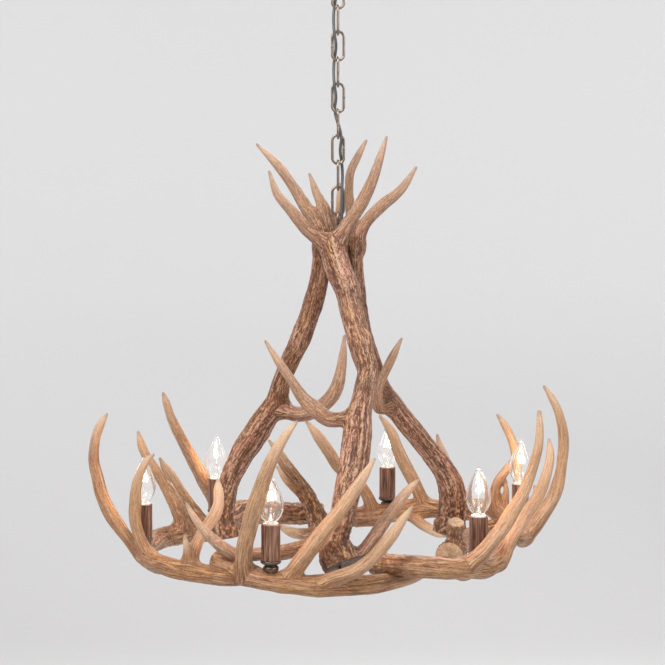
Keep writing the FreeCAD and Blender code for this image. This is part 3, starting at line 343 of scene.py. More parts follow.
            (248.6, 122, -911.6, 8.4),
        ],
        "stub": [
            (173.9, 0, -929, 13.2), (170.1, -12, -905.9, 12.4), (171.7, -20, -886.8, 10.9),
        ],
    },
}

# candles: number, x, y
CANDLES = [("1", -90, -252), ("2", 191, -190), ("3", 80, 260), ("4", 276, 90), ("5", -275.7, -92), ("6", -187, 145)]


def mm(points):
    return [tuple(c * 0.001 for c in p) for p in points]


# ---------------------------------------------------------------- camera and light
def look_camera():
    cam = bpy.data.cameras.new("camera")
    ob = bpy.data.objects.new("camera", cam)
    bpy.context.scene.collection.objects.link(ob)
    cam.sensor_width = 36.0
    cam.lens = 36.0 * CAM_F / 665.0
    cam.clip_end = 60
    ob.location = CAM_AT
    ob.rotation_euler = (math.radians(90 - CAM_PITCH), 0, 0)
    bpy.context.scene.camera = ob
    return ob


def area_light(name, at, aim, size, power, colour=(1, 1, 1)):
    l = bpy.data.lights.new(name, "AREA")
    l.shape = "DISK"
    l.size = size
    l.energy = power
    l.color = colour
    ob = bpy.data.objects.new(name, l)
    bpy.context.scene.collection.objects.link(ob)
    ob.location = at
    d = Vector(aim) - Vector(at)
    ob.rotation_euler = d.to_track_quat("-Z", "Y").to_euler()
    return ob


# ---------------------------------------------------------------- mesh helpers
def new_mesh(name, verts, faces, smooth=True):
    me = bpy.data.meshes.new(name)
    verts = np.asarray(verts, np.float32)
    me.vertices.add(len(verts))
    me.vertices.foreach_set("co", verts.ravel())
    if len(faces):
        if isinstance(faces, np.ndarray):
            n = faces.shape[1]
            me.loops.add(faces.size)
            me.loops.foreach_set("vertex_index", faces.astype(np.int32).ravel())
            me.polygons.add(len(faces))
            me.polygons.foreach_set("loop_start", np.arange(0, faces.size, n, dtype=np.int32))
            me.polygons.foreach_set("loop_total", np.full(len(faces), n, np.int32))
        else:
            counts = np.array([len(f) for f in faces], np.int32)
            flat = np.concatenate([np.asarray(f, np.int32) for f in faces])
            me.loops.add(len(flat))
            me.loops.foreach_set("vertex_index", flat)
            me.polygons.add(len(faces))
            me.polygons.foreach_set("loop_start", np.concatenate([[0], np.cumsum(counts)[:-1]]).astype(np.int32))
            me.polygons.foreach_set("loop_total", counts)
    me.update(calc_edges=True)
    me.validate()
    me.polygons.foreach_set("use_smooth", np.full(len(me.polygons), smooth, bool))
    ob = bpy.data.objects.new(name, me)
    bpy.context.scene.collection.objects.link(ob)
    return ob


def add_attribute(ob, name, values):
    values = np.asarray(values, np.float32)
    kind = "FLOAT" if values.ndim == 1 else "FLOAT_VECTOR"
    a = ob.data.attributes.new(name, kind, "POINT")
    a.data.foreach_set("value" if kind == "FLOAT" else "vector", values.ravel())


def lathe(name, profile, segments=48, at=(0, 0, 0), wobble=None, closed=False):
    """Turns (radius, height) points about a vertical axis. wobble(theta, r, z) moves the radius."""
    prof = np.array(profile, float)
    th = np.arange(segments) * 2 * math.pi / segments
    verts, faces = [], []
    n = len(prof)
    for r, z in prof:
        rr = np.full(segments, r)
        if wobble is not None:
            rr = wobble(th, r, z)
        verts.append(np.stack([at[0] + rr * np.cos(th), at[1] + rr * np.sin(th), np.full(segments, at[2] + z)], 1))
    verts = np.concatenate(verts)
    rows = n if closed else n - 1
    for i in range(rows):
        a, b = i * segments, ((i + 1) % n) * segments
        for k in range(segments):
            m = (k + 1) % segments
            faces.append((a + k, a + m, b + m, b + k))
    if not closed:
        if prof[0][0] > 1e-6:
            faces.append(tuple(range(segments))[::-1])
        if prof[-1][0] > 1e-6:
            faces.append(tuple((n - 1) * segments + k for k in range(segments)))
    ob = new_mesh(name, verts, faces)
    bm = bmesh.new()
    bm.from_mesh(ob.data)
    bmesh.ops.remove_doubles(bm, verts=bm.verts, dist=1e-6)
    bmesh.ops.recalc_face_normals(bm, faces=bm.faces)
    bm.to_mesh(ob.data)
    bm.free()
    ob.data.polygons.foreach_set("use_smooth", np.full(len(ob.data.polygons), True, bool))
    return ob


def rounded(points, radius, steps=3):
    """The (radius, height) outline with its corners rounded off."""
    pts = [np.array(p, float) for p in points]
    out = [pts[0]]
    for a, b, c in zip(pts, pts[1:], pts[2:]):
        u, v = a - b, c - b
        lu, lv = np.linalg.norm(u), np.linalg.norm(v)
        if lu < 1e-9 or lv < 1e-9:
            continue
        t = min(radius, lu * 0.45, lv * 0.45)
        p, q = b + u / lu * t, b + v / lv * t
        for k in range(steps + 1):
            s = k / steps
            out.append((1 - s) ** 2 * p + 2 * s * (1 - s) * b + s * s * q)
    out.append(pts[-1])
    return [tuple(p) for p in out]


def auto_smooth(ob, angle=40):
    """Faces that meet at more than the angle keep a sharp edge."""
    bm = bmesh.new()
    bm.from_mesh(ob.data)
    lim = math.radians(angle)
    for e in bm.edges:
        e.smooth = not (len(e.link_faces) == 2 and e.calc_face_angle(0) > lim)
    bm.to_mesh(ob.data)
    bm.free()


def tube(name, points, radius, sides=16, closed=False, caps=True, radii=None):
    """A round tube along many close points."""
    p = np.array(points, float)
    n = len(p)
    if closed:
        t = np.roll(p, -1, 0) - np.roll(p, 1, 0)
    else:
        t = np.gradient(p, axis=0)
    t /= np.linalg.norm(t, axis=1)[:, None]
    ref = np.array([0, 0, 1.0]) if abs(t[0][2]) < 0.8 else np.array([1.0, 0, 0])
    a = np.cross(t[0], ref)
    a /= np.linalg.norm(a)
    frames = []
    for i in range(n):
        a = a - t[i] * a.dot(t[i])
        a /= np.linalg.norm(a)
        frames.append(a.copy())
    frames = np.array(frames)
    if closed:
        # spread the twist that is left over round the loop
        end = frames[-1] - t[0] * frames[-1].dot(t[0])
        end /= np.linalg.norm(end)
        twist = math.atan2(np.cross(frames[0], end).dot(t[0]), frames[0].dot(end))
        for i in range(n):
            ang = -twist * i / n
            b = np.cross(t[i], frames[i])
            frames[i] = frames[i] * math.cos(ang) + b * math.sin(ang)
    bi = np.cross(t, frames)
    th = np.arange(sides) * 2 * math.pi / sides
    rad = np.full(n, radius) if radii is None else np.asarray(radii)
    ring = frames[:, None] * np.cos(th)[None, :, None] + bi[:, None] * np.sin(th)[None, :, None]
    verts = (p[:, None] + ring * rad[:, None, None]).reshape(-1, 3)
    i, k = np.meshgrid(np.arange(n if closed else n - 1), np.arange(sides), indexing="ij")
    j, m = (i + 1) % n, (k + 1) % sides
    faces = np.stack([i * sides + k, i * sides + m, j * sides + m, j * sides + k], -1).reshape(-1, 4)
    faces = [tuple(f) for f in faces]
    if caps and not closed:
        faces.append(tuple(range(sides))[::-1])
        faces.append(tuple((n - 1) * sides + q for q in range(sides)))
    return new_mesh(name, verts, faces)


# ---------------------------------------------------------------- noise in numpy
def hash3(i, j, k, seed):
    h = (i * 374761393 + j * 668265263 + k * 1274126177 + seed * 982451653) & 0xFFFFFFFF
    h = ((h ^ (h >> 13)) * 1274126177) & 0xFFFFFFFF
    h = (h ^ (h >> 16)) & 0xFFFFFFFF
    return h / 4294967295.0


def noise3(p, seed=0):
    """Smooth value noise, 0 to 1."""
    q = np.floor(p).astype(np.int64)
    f = p - q
    f = f * f * (3 - 2 * f)
    out = 0
    for a in (0, 1):
        for b in (0, 1):
            for c in (0, 1):
                w = (f[:, 0] if a else 1 - f[:, 0]) * (f[:, 1] if b else 1 - f[:, 1]) * (f[:, 2] if c else 1 - f[:, 2])
                out = out + w * hash3(q[:, 0] + a, q[:, 1] + b, q[:, 2] + c, seed)
    return out


def cells3(p, seed=0):
    """Distance to the nearest scattered point, about 0 to 1, for pearls."""
    q = np.floor(p).astype(np.int64)
    best = np.full(len(p), 9.0)
    for a in (-1, 0, 1):
        for b in (-1, 0, 1):
            for c in (-1, 0, 1):
                i, j, k = q[:, 0] + a, q[:, 1] + b, q[:, 2] + c
                o = np.stack([i + hash3(i, j, k, seed), j + hash3(i, j, k, seed + 1), k + hash3(i, j, k, seed + 2)], 1)
                best = np.minimum(best, ((p - o) ** 2).sum(1))
    return np.sqrt(best)


# ---------------------------------------------------------------- antlers
def curve_line(points, step):
    """Centripetal Catmull-Rom through (x, y, z, r) points."""
    p = np.array(points, float)
    p = np.vstack([2 * p[0] - p[1], p, 2 * p[-1] - p[-2]])
    out = []
    for i in range(1, len(p) - 2):
        a, b, c, d = p[i - 1:i + 3]
        t0 = 0.0
        t1 = t0 + max(np.linalg.norm((b - a)[:3]), 1e-9) ** 0.5
        t2 = t1 + max(np.linalg.norm((c - b)[:3]), 1e-9) ** 0.5
        t3 = t2 + max(np.linalg.norm((d - c)[:3]), 1e-9) ** 0.5
        n = max(int(round(np.linalg.norm((c - b)[:3]) / step)), 1)
        for k in range(n):
            t = t1 + (t2 - t1) * k / n
            a1 = ((t1 - t) * a + (t - t0) * b) / (t1 - t0)
            a2 = ((t2 - t) * b + (t - t1) * c) / (t2 - t1)
            a3 = ((t3 - t) * c + (t - t2) * d) / (t3 - t2)
            b1 = ((t2 - t) * a1 + (t - t0) * a2) / (t2 - t0)
            b2 = ((t3 - t) * a2 + (t - t1) * a3) / (t3 - t1)
            out.append(((t2 - t) * b1 + (t - t1) * b2) / (t2 - t1))
    out.append(p[-2])
    out = np.array(out)
    out[:, 3] = np.maximum(out[:, 3], 0.0014)
    return out


def frames_along(pos):
    t = np.gradient(pos, axis=0)
    t /= np.linalg.norm(t, axis=1)[:, None]
    ref = np.array([0, 0, 1.0]) if abs(t[0][2]) < 0.8 else np.array([1.0, 0, 0])
    a = np.cross(t[0], ref)
    a /= np.linalg.norm(a)
    out = []
    for i in range(len(pos)):
        a = a - t[i] * a.dot(t[i])
        a /= np.linalg.norm(a)
        out.append(a.copy())
    a = np.array(out)
    return t, a, np.cross(t, a)


def surface_nets(F, origin, h):
    s = F < 0
    n = np.zeros(tuple(k - 1 for k in F.shape), np.int8)
    for a in (0, 1):
        for b in (0, 1):
            for c in (0, 1):
                n += s[a:F.shape[0] - 1 + a, b:F.shape[1] - 1 + b, c:F.shape[2] - 1 + c]
    active = (n > 0) & (n < 8)
    index = np.full(n.shape, -1, np.int64)
    I, J, K = np.nonzero(active)
    index[I, J, K] = np.arange(len(I))
    pos = np.zeros((len(I), 3))
    cnt = np.zeros(len(I))
    for axis in range(3):
        d = [0, 0, 0]
        d[axis] = 1
        others = [x for x in range(3) if x != axis]
        for u in (0, 1):
            for v in (0, 1):
                o = [0, 0, 0]
                o[others[0]], o[others[1]] = u, v
                fa = F[I + o[0], J + o[1], K + o[2]]
                fb = F[I + o[0] + d[0], J + o[1] + d[1], K + o[2] + d[2]]
                cross = (fa < 0) != (fb < 0)
                t = fa[cross] / (fa[cross] - fb[cross])
                q = np.tile(np.array(o, float), (cross.sum(), 1))
                q[:, axis] += t
                pos[cross] += q
                cnt[cross] += 1
    verts = np.array(origin) + h * (np.stack([I, J, K], 1) + pos / cnt[:, None])
    faces = []
    for axis in range(3):
        sl0 = [slice(None)] * 3
        sl1 = [slice(None)] * 3
        sl0[axis], sl1[axis] = slice(0, -1), slice(1, None)
        a, b = s[tuple(sl0)], s[tuple(sl1)]
        P = np.stack(np.nonzero(a != b), 1)
        u, v = [x for x in range(3) if x != axis]
        P = P[(P[:, u] > 0) & (P[:, v] > 0) & (P[:, u] < n.shape[u]) & (P[:, v] < n.shape[v])]
        inside = a[P[:, 0], P[:, 1], P[:, 2]]

        def at(du, dv):
            Q = P.copy()
            Q[:, u] -= du
            Q[:, v] -= dv
            return index[Q[:, 0], Q[:, 1], Q[:, 2]]

        quad = np.stack([at(1, 1), at(0, 1), at(0, 0), at(1, 0)], 1)
        flip = inside if axis != 1 else ~inside
        quad = np.where(flip[:, None], quad, quad[:, ::-1])
        faces.append(quad[(quad >= 0).all(1)])
    return verts, np.concatenate(faces)


def smooth_verts(verts, faces, rounds):
    """Taubin smoothing."""
    e = np.concatenate([faces[:, [0, 1]], faces[:, [1, 2]], faces[:, [2, 3]], faces[:, [3, 0]]])
    e = np.concatenate([e, e[:, ::-1]])
    deg = np.bincount(e[:, 0], minlength=len(verts)).astype(float)
    for r in range(rounds):
        for lam in (0.5, -0.52):
            acc = np.stack([np.bincount(e[:, 0], verts[e[:, 1], x], minlength=len(verts)) for x in range(3)], 1)
            verts = verts + lam * (acc / deg[:, None] - verts)
    return verts


def vertex_normals(verts, faces):
    n = np.cross(verts[faces[:, 2]] - verts[faces[:, 0]], verts[faces[:, 3]] - verts[faces[:, 1]])
    out = np.zeros_like(verts)
    for k in range(4):
        for x in range(3):
            out[:, x] += np.bincount(faces[:, k], n[:, x], minlength=len(verts))
    return out / np.maximum(np.linalg.norm(out, axis=1), 1e-12)[:, None]


def segment_field(block, xs, ys, zs, line):
    """Least distance to a tapering tube, written into block where it is near."""
    for i in range(len(line) - 1):
        a, b = line[i], line[i + 1]
        m = max(a[3], b[3]) + FIELD_REACH
        lo, hi = np.minimum(a[:3], b[:3]) - m, np.maximum(a[:3], b[:3]) + m
        sx = slice(*np.searchsorted(xs, (lo[0], hi[0])))
        sy = slice(*np.searchsorted(ys, (lo[1], hi[1])))
        sz = slice(*np.searchsorted(zs, (lo[2], hi[2])))
        X, Y, Z = xs[sx][:, None, None], ys[sy][None, :, None], zs[sz][None, None, :]
        ab = b[:3] - a[:3]
        l2 = ab.dot(ab)
        t = ((X - a[0]) * ab[0] + (Y - a[1]) * ab[1] + (Z - a[2]) * ab[2]) / l2
        t = np.clip(t, 0, 1)
        d = np.sqrt((X - a[0] - t * ab[0]) ** 2 + (Y - a[1] - t * ab[1]) ** 2 + (Z - a[2] - t * ab[2]) ** 2)
        d -= a[3] + t * (b[3] - a[3])
        block[sx, sy, sz] = np.minimum(block[sx, sy, sz], d)


def build_antler(name, limbs, look, clear):
    """One antler as a single skin: tines flow out of the beam, burrs, pearls and grooves stand on it.
    clear is a list of (x, y, z0, z1, r) upright round seats that are cut out of it."""
    h = GRID
    lines = {k: curve_line(mm(v), 0.005) for k, v in limbs.items()}
    for k, l in lines.items():
        l[:, 3] *= 0.985
    cuts = []
    for k, where in look.get("cut", {}).items():
        l = lines[k]
        ends = ((0, 1), (-1, -2)) if where == "both" else (((0, 1),) if where == "start" else ((-1, -2),))
        for e, f in ends:
            d = l[e][:3] - l[f][:3]
            d /= np.linalg.norm(d)
            s = np.linalg.norm(l[:, :3] - l[e][:3], axis=1)
            # the burr, a low crown round the end
            l[:, 3] *= 1 + look.get("burr", 0.16) * np.exp(-((s - 0.006) / 0.006) ** 2)
            cuts.append((l[e][:3] + d * look.get("past", 0.0025), d, l[e][3]))
    allp = np.concatenate(list(lines.values()))
    lo = (allp[:, :3] - allp[:, 3:4]).min(0) - 0.006
    hi = (allp[:, :3] + allp[:, 3:4]).max(0) + 0.006
    lo = np.floor(lo / h) * h
    xs, ys, zs = (np.arange(lo[i], hi[i] + h, h) for i in range(3))
    F = np.full((len(xs), len(ys), len(zs)), 0.05, np.float32)
    for k, l in lines.items():
        m = l[:, 3].max() + FIELD_REACH + h
        a, b = l[:, :3].min(0) - m, l[:, :3].max(0) + m
        sx = slice(*np.searchsorted(xs, (a[0], b[0])))
        sy = slice(*np.searchsorted(ys, (a[1], b[1])))
        sz = slice(*np.searchsorted(zs, (a[2], b[2])))
        block = np.full((sx.stop - sx.start, sy.stop - sy.start, sz.stop - sz.start), 0.05, np.float32)
        segment_field(block, xs[sx], ys[sy], zs[sz], l)
        g = F[sx, sy, sz]
        w = np.maximum(BLEND_K - np.abs(g - block), 0) / BLEND_K
        F[sx, sy, sz] = np.minimum(g, block) - w * w * BLEND_K / 4
    for c, d, r in cuts:
        m = r * 1.9
        sx = slice(*np.searchsorted(xs, (c[0] - m, c[0] + m)))
        sy = slice(*np.searchsorted(ys, (c[1] - m, c[1] + m)))
        sz = slice(*np.searchsorted(zs, (c[2] - m, c[2] + m)))
        X, Y, Z = xs[sx][:, None, None] - c[0], ys[sy][None, :, None] - c[1], zs[sz][None, None, :] - c[2]
        plane = X * d[0] + Y * d[1] + Z * d[2]
        far = np.sqrt(X * X + Y * Y + Z * Z) - r * 1.75
        g = F[sx, sy, sz]
        keep = np.maximum(g, np.maximum(plane, -0.05))
        F[sx, sy, sz] = np.where(far < 0, keep, g)
    for x, y, z0, z1, r in clear:
        m = r + 0.004
        sx = slice(*np.searchsorted(xs, (x - m, x + m)))
        sy = slice(*np.searchsorted(ys, (y - m, y + m)))
        sz = slice(*np.searchsorted(zs, (z0 - 0.004, z1 + 0.004)))
        if sx.start == sx.stop or sy.start == sy.stop or sz.start == sz.stop:
            continue
        X, Y, Z = xs[sx][:, None, None] - x, ys[sy][None, :, None] - y, zs[sz][None, None, :]
        hole = np.maximum(np.sqrt(X * X + Y * Y) - r, np.maximum(z0 - Z, Z - z1))
        F[sx, sy, sz] = np.maximum(F[sx, sy, sz], -hole)
    verts, faces = surface_nets(F, (xs[0], ys[0], zs[0]), h)
    del F
    verts = smooth_verts(verts, faces, 2)
    # every point's place along and round its limb
    names = list(lines)
    best = np.full(len(verts), 9.0)
    local = np.zeros((len(verts), 3))
    along = np.zeros(len(verts))
    tip = np.zeros(len(verts))
    base = np.zeros(len(verts))
    rad = np.zeros(len(verts))
    outward = np.zeros(len(verts))
    for num, k in enumerate(names):
        fine = curve_line(mm(limbs[k]), 0.0025)
        t, a, b = frames_along(fine[:, :3])
        s = np.concatenate([[0], np.cumsum(np.linalg.norm(np.diff(fine[:, :3], axis=0), axis=1))])
        m = fine[:, 3].max() + 0.012
        near = np.nonzero(((verts > fine[:, :3].min(0) - m) & (verts < fine[:, :3].max(0) + m)).all(1))[0]
        for start in range(0, len(near), 4000):
            ids = near[start:start + 4000]
            v = verts[ids]
            d2 = ((v[:, None] - fine[None, :, :3]) ** 2).sum(-1)
            d = np.sqrt(d2) - fine[None, :, 3]
            i = d.argmin(1)
            g = d[np.arange(len(ids)), i]
            better = g < best[ids] - 1e-6
            ids, v, i, g = ids[better], v[better], i[better], g[better]
            best[ids] = g
            rel = v - fine[i, :3]
            fwd = (rel * t[i]).sum(1)
            x, y = (rel * a[i]).sum(1), (rel * b[i]).sum(1)
            r = np.maximum(np.hypot(x, y), 1e-5)
            ss = s[i] + fwd
            local[ids] = np.stack([x / r, y / r, ss], 1)
            along[ids] = ss
            rad[ids] = fine[i, 3]
            outward[ids] = 0.0 if k == "beam" else np.clip((ss - 0.012) / 0.05, 0, 1)
            left = s[-1] - ss
            sharp = limbs[k][-1][3] < 5.0
            tip[ids] = np.clip(1 - left / min(0.075, s[-1] * 0.6), 0, 1) if sharp else 0
            c = look.get("cut", {}).get(k)
            bb = np.zeros(len(ids))
            if c in ("start", "both"):
                bb = np.maximum(bb, np.clip(1 - ss / 0.085, 0, 1))
            if c in ("end", "both"):
                bb = np.maximum(bb, np.clip(1 - left / 0.085, 0, 1))
            base[ids] = bb
    # relief: long grooves, low swellings, and pearls near the burr
    nrm = vertex_normals(verts, faces)
    R0 = 0.011
    q = local * np.array([R0, R0, 1.0])
    seed = look.get("seed", 1)
    groove = noise3(np.stack([q[:, 0] / 0.0040, q[:, 1] / 0.0040, q[:, 2] / 0.038], 1) + 7.3, seed)
    groove2 = noise3(np.stack([q[:, 0] / 0.0024, q[:, 1] / 0.0024, q[:, 2] / 0.019], 1) + 3.1, seed + 5)
    swell = noise3(verts / 0.026, seed + 9) - 0.5
    rough = look.get("rough", 0.3)
    big = np.clip((rad - 0.0045) / 0.008, 0, 1)
    ridge = (np.abs(groove - 0.5) * 2) ** 0.8 - 0.45
    ridge2 = (np.abs(groove2 - 0.5) * 2) ** 0.8 - 0.45
    pearl_zone = np.clip(base * 1.5 + (rough - 0.5) * 1.3 * (1 - tip) * np.clip(noise3(verts / 0.045, seed + 3) * 2 - 0.55, 0, 1), 0, 1)
    pearls = np.clip(0.62 - cells3(verts / 0.0062, seed + 11), 0, 1) / 0.62
    worm = cells3(np.stack([q[:, 0] / 0.0040, q[:, 1] / 0.0040, q[:, 2] / 0.0105], 1) + 1.7, seed + 15)
    worm = np.clip(0.75 - worm, 0, 1) / 0.75 - 0.35
    fine = big * (1 - tip) * (0.00052 * ridge + 0.00042 * ridge2 + 0.00050 * worm * rough) * (0.45 + 0.8 * rough + 0.7 * look.get("groove", 0.5))
    fine += look.get("pearl", 1.0) * pearl_zone * (pearls * 0.0019 - 0.0006) * np.clip(rad / 0.012, 0.3, 1)
    disp = fine + swell * 0.0012 * np.clip(rad / 0.010, 0.3, 1.2)
    cutmask = np.zeros(len(verts))
    for c, d, r in cuts:
        rel = verts - c
        dist = np.linalg.norm(rel, axis=1)
        on = (np.abs(rel @ d) < 0.0016) & (dist < r * 1.5)
        cutmask[on] = 1
    disp = np.where(cutmask > 0, (noise3(verts / 0.004, seed + 21) - 0.5) * 0.0016, disp)
    fine = np.where(cutmask > 0, 0, fine)
    verts = verts + nrm * disp[:, None]
    # the skin stays within the size the antlers are made to
    verts = np.clip(verts, np.array(cad_box[0]) + 0.0002, np.array(cad_box[1]) - 0.0002)
    ob = new_mesh(name, verts, faces)
    add_attribute(ob, "grain", local * np.array([1.0, 1.0, 1.0]) * np.array([R0, R0, 1.0]))
    add_attribute(ob, "tipness", tip)
    add_attribute(ob, "burrness", np.clip(base, 0, 1))
    add_attribute(ob, "cutface", cutmask)
    add_attribute(ob, "cavity", np.clip(0.5 + fine / 0.0026, 0, 1))
    add_attribute(ob, "outness", outward)
    return ob


# ---------------------------------------------------------------- materials
def material(name):
    m = bpy.data.materials.new(name)
    m.use_nodes = True
    nt = m.node_tree
    nt.nodes.clear()
    out = nt.nodes.new("ShaderNodeOutputMaterial")
    b = nt.nodes.new("ShaderNodeBsdfPrincipled")
    nt.links.new(b.outputs[0], out.inputs[0])
    return m, nt, b, out


def node(nt, kind, **kw):
    n = nt.nodes.new(kind)
    for k, v in kw.items():
        if k in n.inputs and not hasattr(n, k):
            n.inputs[k].default_value = v
        else:
            setattr(n, k, v)
    return n


def coords(nt, scale, attribute=None):
    if attribute:
        src = node(nt, "ShaderNodeAttribute", attribute_name=attribute).outputs["Vector"]
    else:
        src = nt.nodes.new("ShaderNodeTexCoord").outputs["Object"]
    mp = nt.nodes.new("ShaderNodeMapping")
    mp.inputs["Scale"].default_value = scale
    nt.links.new(src, mp.inputs["Vector"])
    return mp.outputs[0]


def noise(nt, vec, scale=1.0, detail=4.0, rough=0.55, distort=0.0):
    n = nt.nodes.new("ShaderNodeTexNoise")
    n.inputs["Scale"].default_value = scale
    n.inputs["Detail"].default_value = detail
    n.inputs["Roughness"].default_value = rough
    n.inputs["Distortion"].default_value = distort
    nt.links.new(vec, n.inputs["Vector"])
    return n.outputs["Fac"]


def ramp(nt, fac, *stops):
    r = nt.nodes.new("ShaderNodeValToRGB")
    el = r.color_ramp.elements
    while len(el) < len(stops):
        el.new(0.5)
    for e, (p, c) in zip(el, stops):
        e.position = p
        e.color = (*c, 1) if hasattr(c, "__len__") else (c, c, c, 1)
    nt.links.new(fac, r.inputs[0])
    return r.outputs[0]


def math_node(nt, op, a, b=None, clamp=False):
    n = nt.nodes.new("ShaderNodeMath")
    n.operation = op
    n.use_clamp = clamp
    for i, v in enumerate((a, b)):
        if v is None:
            continue
        if isinstance(v, (int, float)):
            n.inputs[i].default_value = v
        else:
            nt.links.new(v, n.inputs[i])
    return n.outputs[0]


def mix(nt, fac, a, b, mode="MIX"):
    n = nt.nodes.new("ShaderNodeMix")
    n.data_type = "RGBA"
    n.blend_type = mode
    if isinstance(fac, (int, float)):
        n.inputs[0].default_value = fac
    else:
        nt.links.new(fac, n.inputs[0])
    for i, v in ((6, a), (7, b)):
        if hasattr(v, "__len__"):
            n.inputs[i].default_value = (*v, 1)
        else:
            nt.links.new(v, n.inputs[i])
    return n.outputs[2]


def attr(nt, name):
    return node(nt, "ShaderNodeAttribute", attribute_name=name).outputs["Fac"]


def bump(nt, b, height, strength, distance, previous=None):
    n = nt.nodes.new("ShaderNodeBump")
    n.inputs["Strength"].default_value = strength
    n.inputs["Distance"].default_value = distance
    nt.links.new(height, n.inputs["Height"])
    if previous is not None:
        nt.links.new(previous, n.inputs["Normal"])
    nt.links.new(n.outputs[0], b.inputs["Normal"])
    return n.outputs[0]


def voronoi(nt, vec, feature="F1"):
    n = nt.nodes.new("ShaderNodeTexVoronoi")
    n.feature = feature
    n.inputs["Scale"].default_value = 1.0
    n.inputs["Randomness"].default_value = 1.0
    nt.links.new(vec, n.inputs["Vector"])
    return n.outputs["Distance"]


def antler_material(name, groove, mid, pale, tip, burr, streak=0.5, cutend=(0.30, 0.19, 0.11)):
    """Long wandering grooves and narrow ridges that run along the limb, with short flecks on the rough ones."""
    m, nt, b, out = material(name)
    fine = noise(nt, coords(nt, (760, 760, 30 + 120 * streak), "grain"), 1.0, 4.0, 0.62, 0.3)
    broad = noise(nt, coords(nt, (300, 300, 13), "grain"), 1.0, 3.0, 0.55, 0.6)
    fleck = noise(nt, coords(nt, (820, 820, 230), "grain"), 1.0, 2.0, 0.6, 0.8)
    vein = noise(nt, coords(nt, (235, 235, 15), "grain"), 1.0, 4.0, 0.55, 1.2)
    hue = noise(nt, coords(nt, (90, 90, 9), "grain"), 1.0, 2.0, 0.5, 0.4)
    mottle = noise(nt, coords(nt, (15, 15, 15)), 1.0, 4.0, 0.6)
    stain = noise(nt, coords(nt, (34, 34, 34)), 1.0, 5.0, 0.65, 0.3)
    speck = noise(nt, coords(nt, (520, 520, 520)), 1.0, 3.0, 0.65)
    cav = attr(nt, "cavity")
    tipn = attr(nt, "tipness")
    burrn = attr(nt, "burrness")
    cut = attr(nt, "cutface")
    outn = attr(nt, "outness")
    dark = math_node(nt, "MULTIPLY", math_node(nt, "ABSOLUTE", math_node(nt, "SUBTRACT", vein, 0.5)), 2.0)
    dark = ramp(nt, dark, (0.0, 1.0), (0.045, 0.55), (0.11, 0.0))
    lines = math_node(nt, "ADD", math_node(nt, "MULTIPLY", fine, 0.60), math_node(nt, "MULTIPLY", broad, 0.40))
    h = math_node(nt, "ADD", math_node(nt, "MULTIPLY", math_node(nt, "SUBTRACT", cav, 0.5), 0.50 + 0.30 * streak),
                  math_node(nt, "ADD", math_node(nt, "MULTIPLY", math_node(nt, "SUBTRACT", lines, 0.5), 1.75 + 1.5 * streak), 0.53))
    h = math_node(nt, "ADD", h, math_node(nt, "MULTIPLY", math_node(nt, "SUBTRACT", fleck, 0.5), 0.35 + 2.0 * streak))
    h = math_node(nt, "SUBTRACT", h, math_node(nt, "MULTIPLY", dark, 0.20 + 0.20 * streak))
    half = tuple(0.5 * x + 0.5 * y for x, y in zip(mid, pale))
    t = ramp(nt, h, (0.16, groove), (0.42, mid), (0.60, half), (0.86, pale))
    # golden, pink-brown and greyer stretches
    gold = (1.16, 1.02, 0.74)
    rose = (1.05, 0.90, 0.90)
    t = mix(nt, 1.0, t, ramp(nt, hue, (0.36, gold), (0.50, (1.0, 1.0, 1.0)), (0.64, rose)), "MULTIPLY")
    warm = (mid[0] * 1.30, mid[1] * 1.06, mid[2] * 0.80)
    t = mix(nt, ramp(nt, mottle, (0.40, 0.0), (0.66, 0.45)), t, mix(nt, 0.5, t, warm))
    dull = tuple(0.60 * x + 0.40 * y for x, y in zip(mid, groove))
    solid = math_node(nt, "SUBTRACT", 1.0, math_node(nt, "MULTIPLY", tipn, 0.8))
    t = mix(nt, math_node(nt, "MULTIPLY", ramp(nt, stain, (0.46, 0.0), (0.72, 0.55)), solid), t, mix(nt, 0.7, t, dull))
    # a limb is paler away from the beam
    t = mix(nt, outn, mix(nt, 1.0, t, (0.88, 0.87, 0.85), "MULTIPLY"), mix(nt, 0.26, t, tuple(min(x * 1.12, 1) for x in tip)))
    # the rubbed tips are paler and smoother
    tc = ramp(nt, lines, (0.34, tuple(c * 0.50 for c in tip)), (0.48, tuple(c * 0.90 for c in tip)), (0.62, tuple(min(c * 1.08, 1) for c in tip)))
    t = mix(nt, ramp(nt, math_node(nt, "ADD", tipn, math_node(nt, "MULTIPLY", math_node(nt, "SUBTRACT", mottle, 0.5), 0.4)),
                     (0.05, 0.0), (0.95, 0.85)), t, tc)
    # the very point is worn grey
    t = mix(nt, ramp(nt, tipn, (0.88, 0.0), (1.0, 0.7)), t, (0.42, 0.33, 0.27))
    # dark between the pearls
    bc = ramp(nt, cav, (0.25, tuple(c * 0.6 for c in burr)), (0.60, tuple(c * 1.5 for c in burr)), (0.95, half))
    t = mix(nt, ramp(nt, burrn, (0.15, 0.0), (0.95, 0.5)), t, mix(nt, 0.35, bc, t))
    cc = ramp(nt, noise(nt, coords(nt, (230, 230, 230)), 1.0, 4.0, 0.75), (0.36, tuple(c * 0.6 for c in cutend)), (0.60, cutend))
    t = mix(nt, cut, t, cc)
    t = mix(nt, ramp(nt, speck, (0.34, 0.35), (0.46, 0.0)), t, tuple(c * 0.6 for c in groove))
    nt.links.new(t, b.inputs["Base Color"])
    nt.links.new(ramp(nt, lines, (0.25, 0.28), (0.6, 0.48)), b.inputs["Roughness"])
    b.inputs["Specular IOR Level"].default_value = 0.5
    flat = math_node(nt, "SUBTRACT", 1.0, math_node(nt, "MULTIPLY", tipn, 0.6))
    n1 = bump(nt, b, math_node(nt, "MULTIPLY", h, flat), 0.9, 0.0013)
    bump(nt, b, speck, 0.3, 0.0004, n1)
    return m


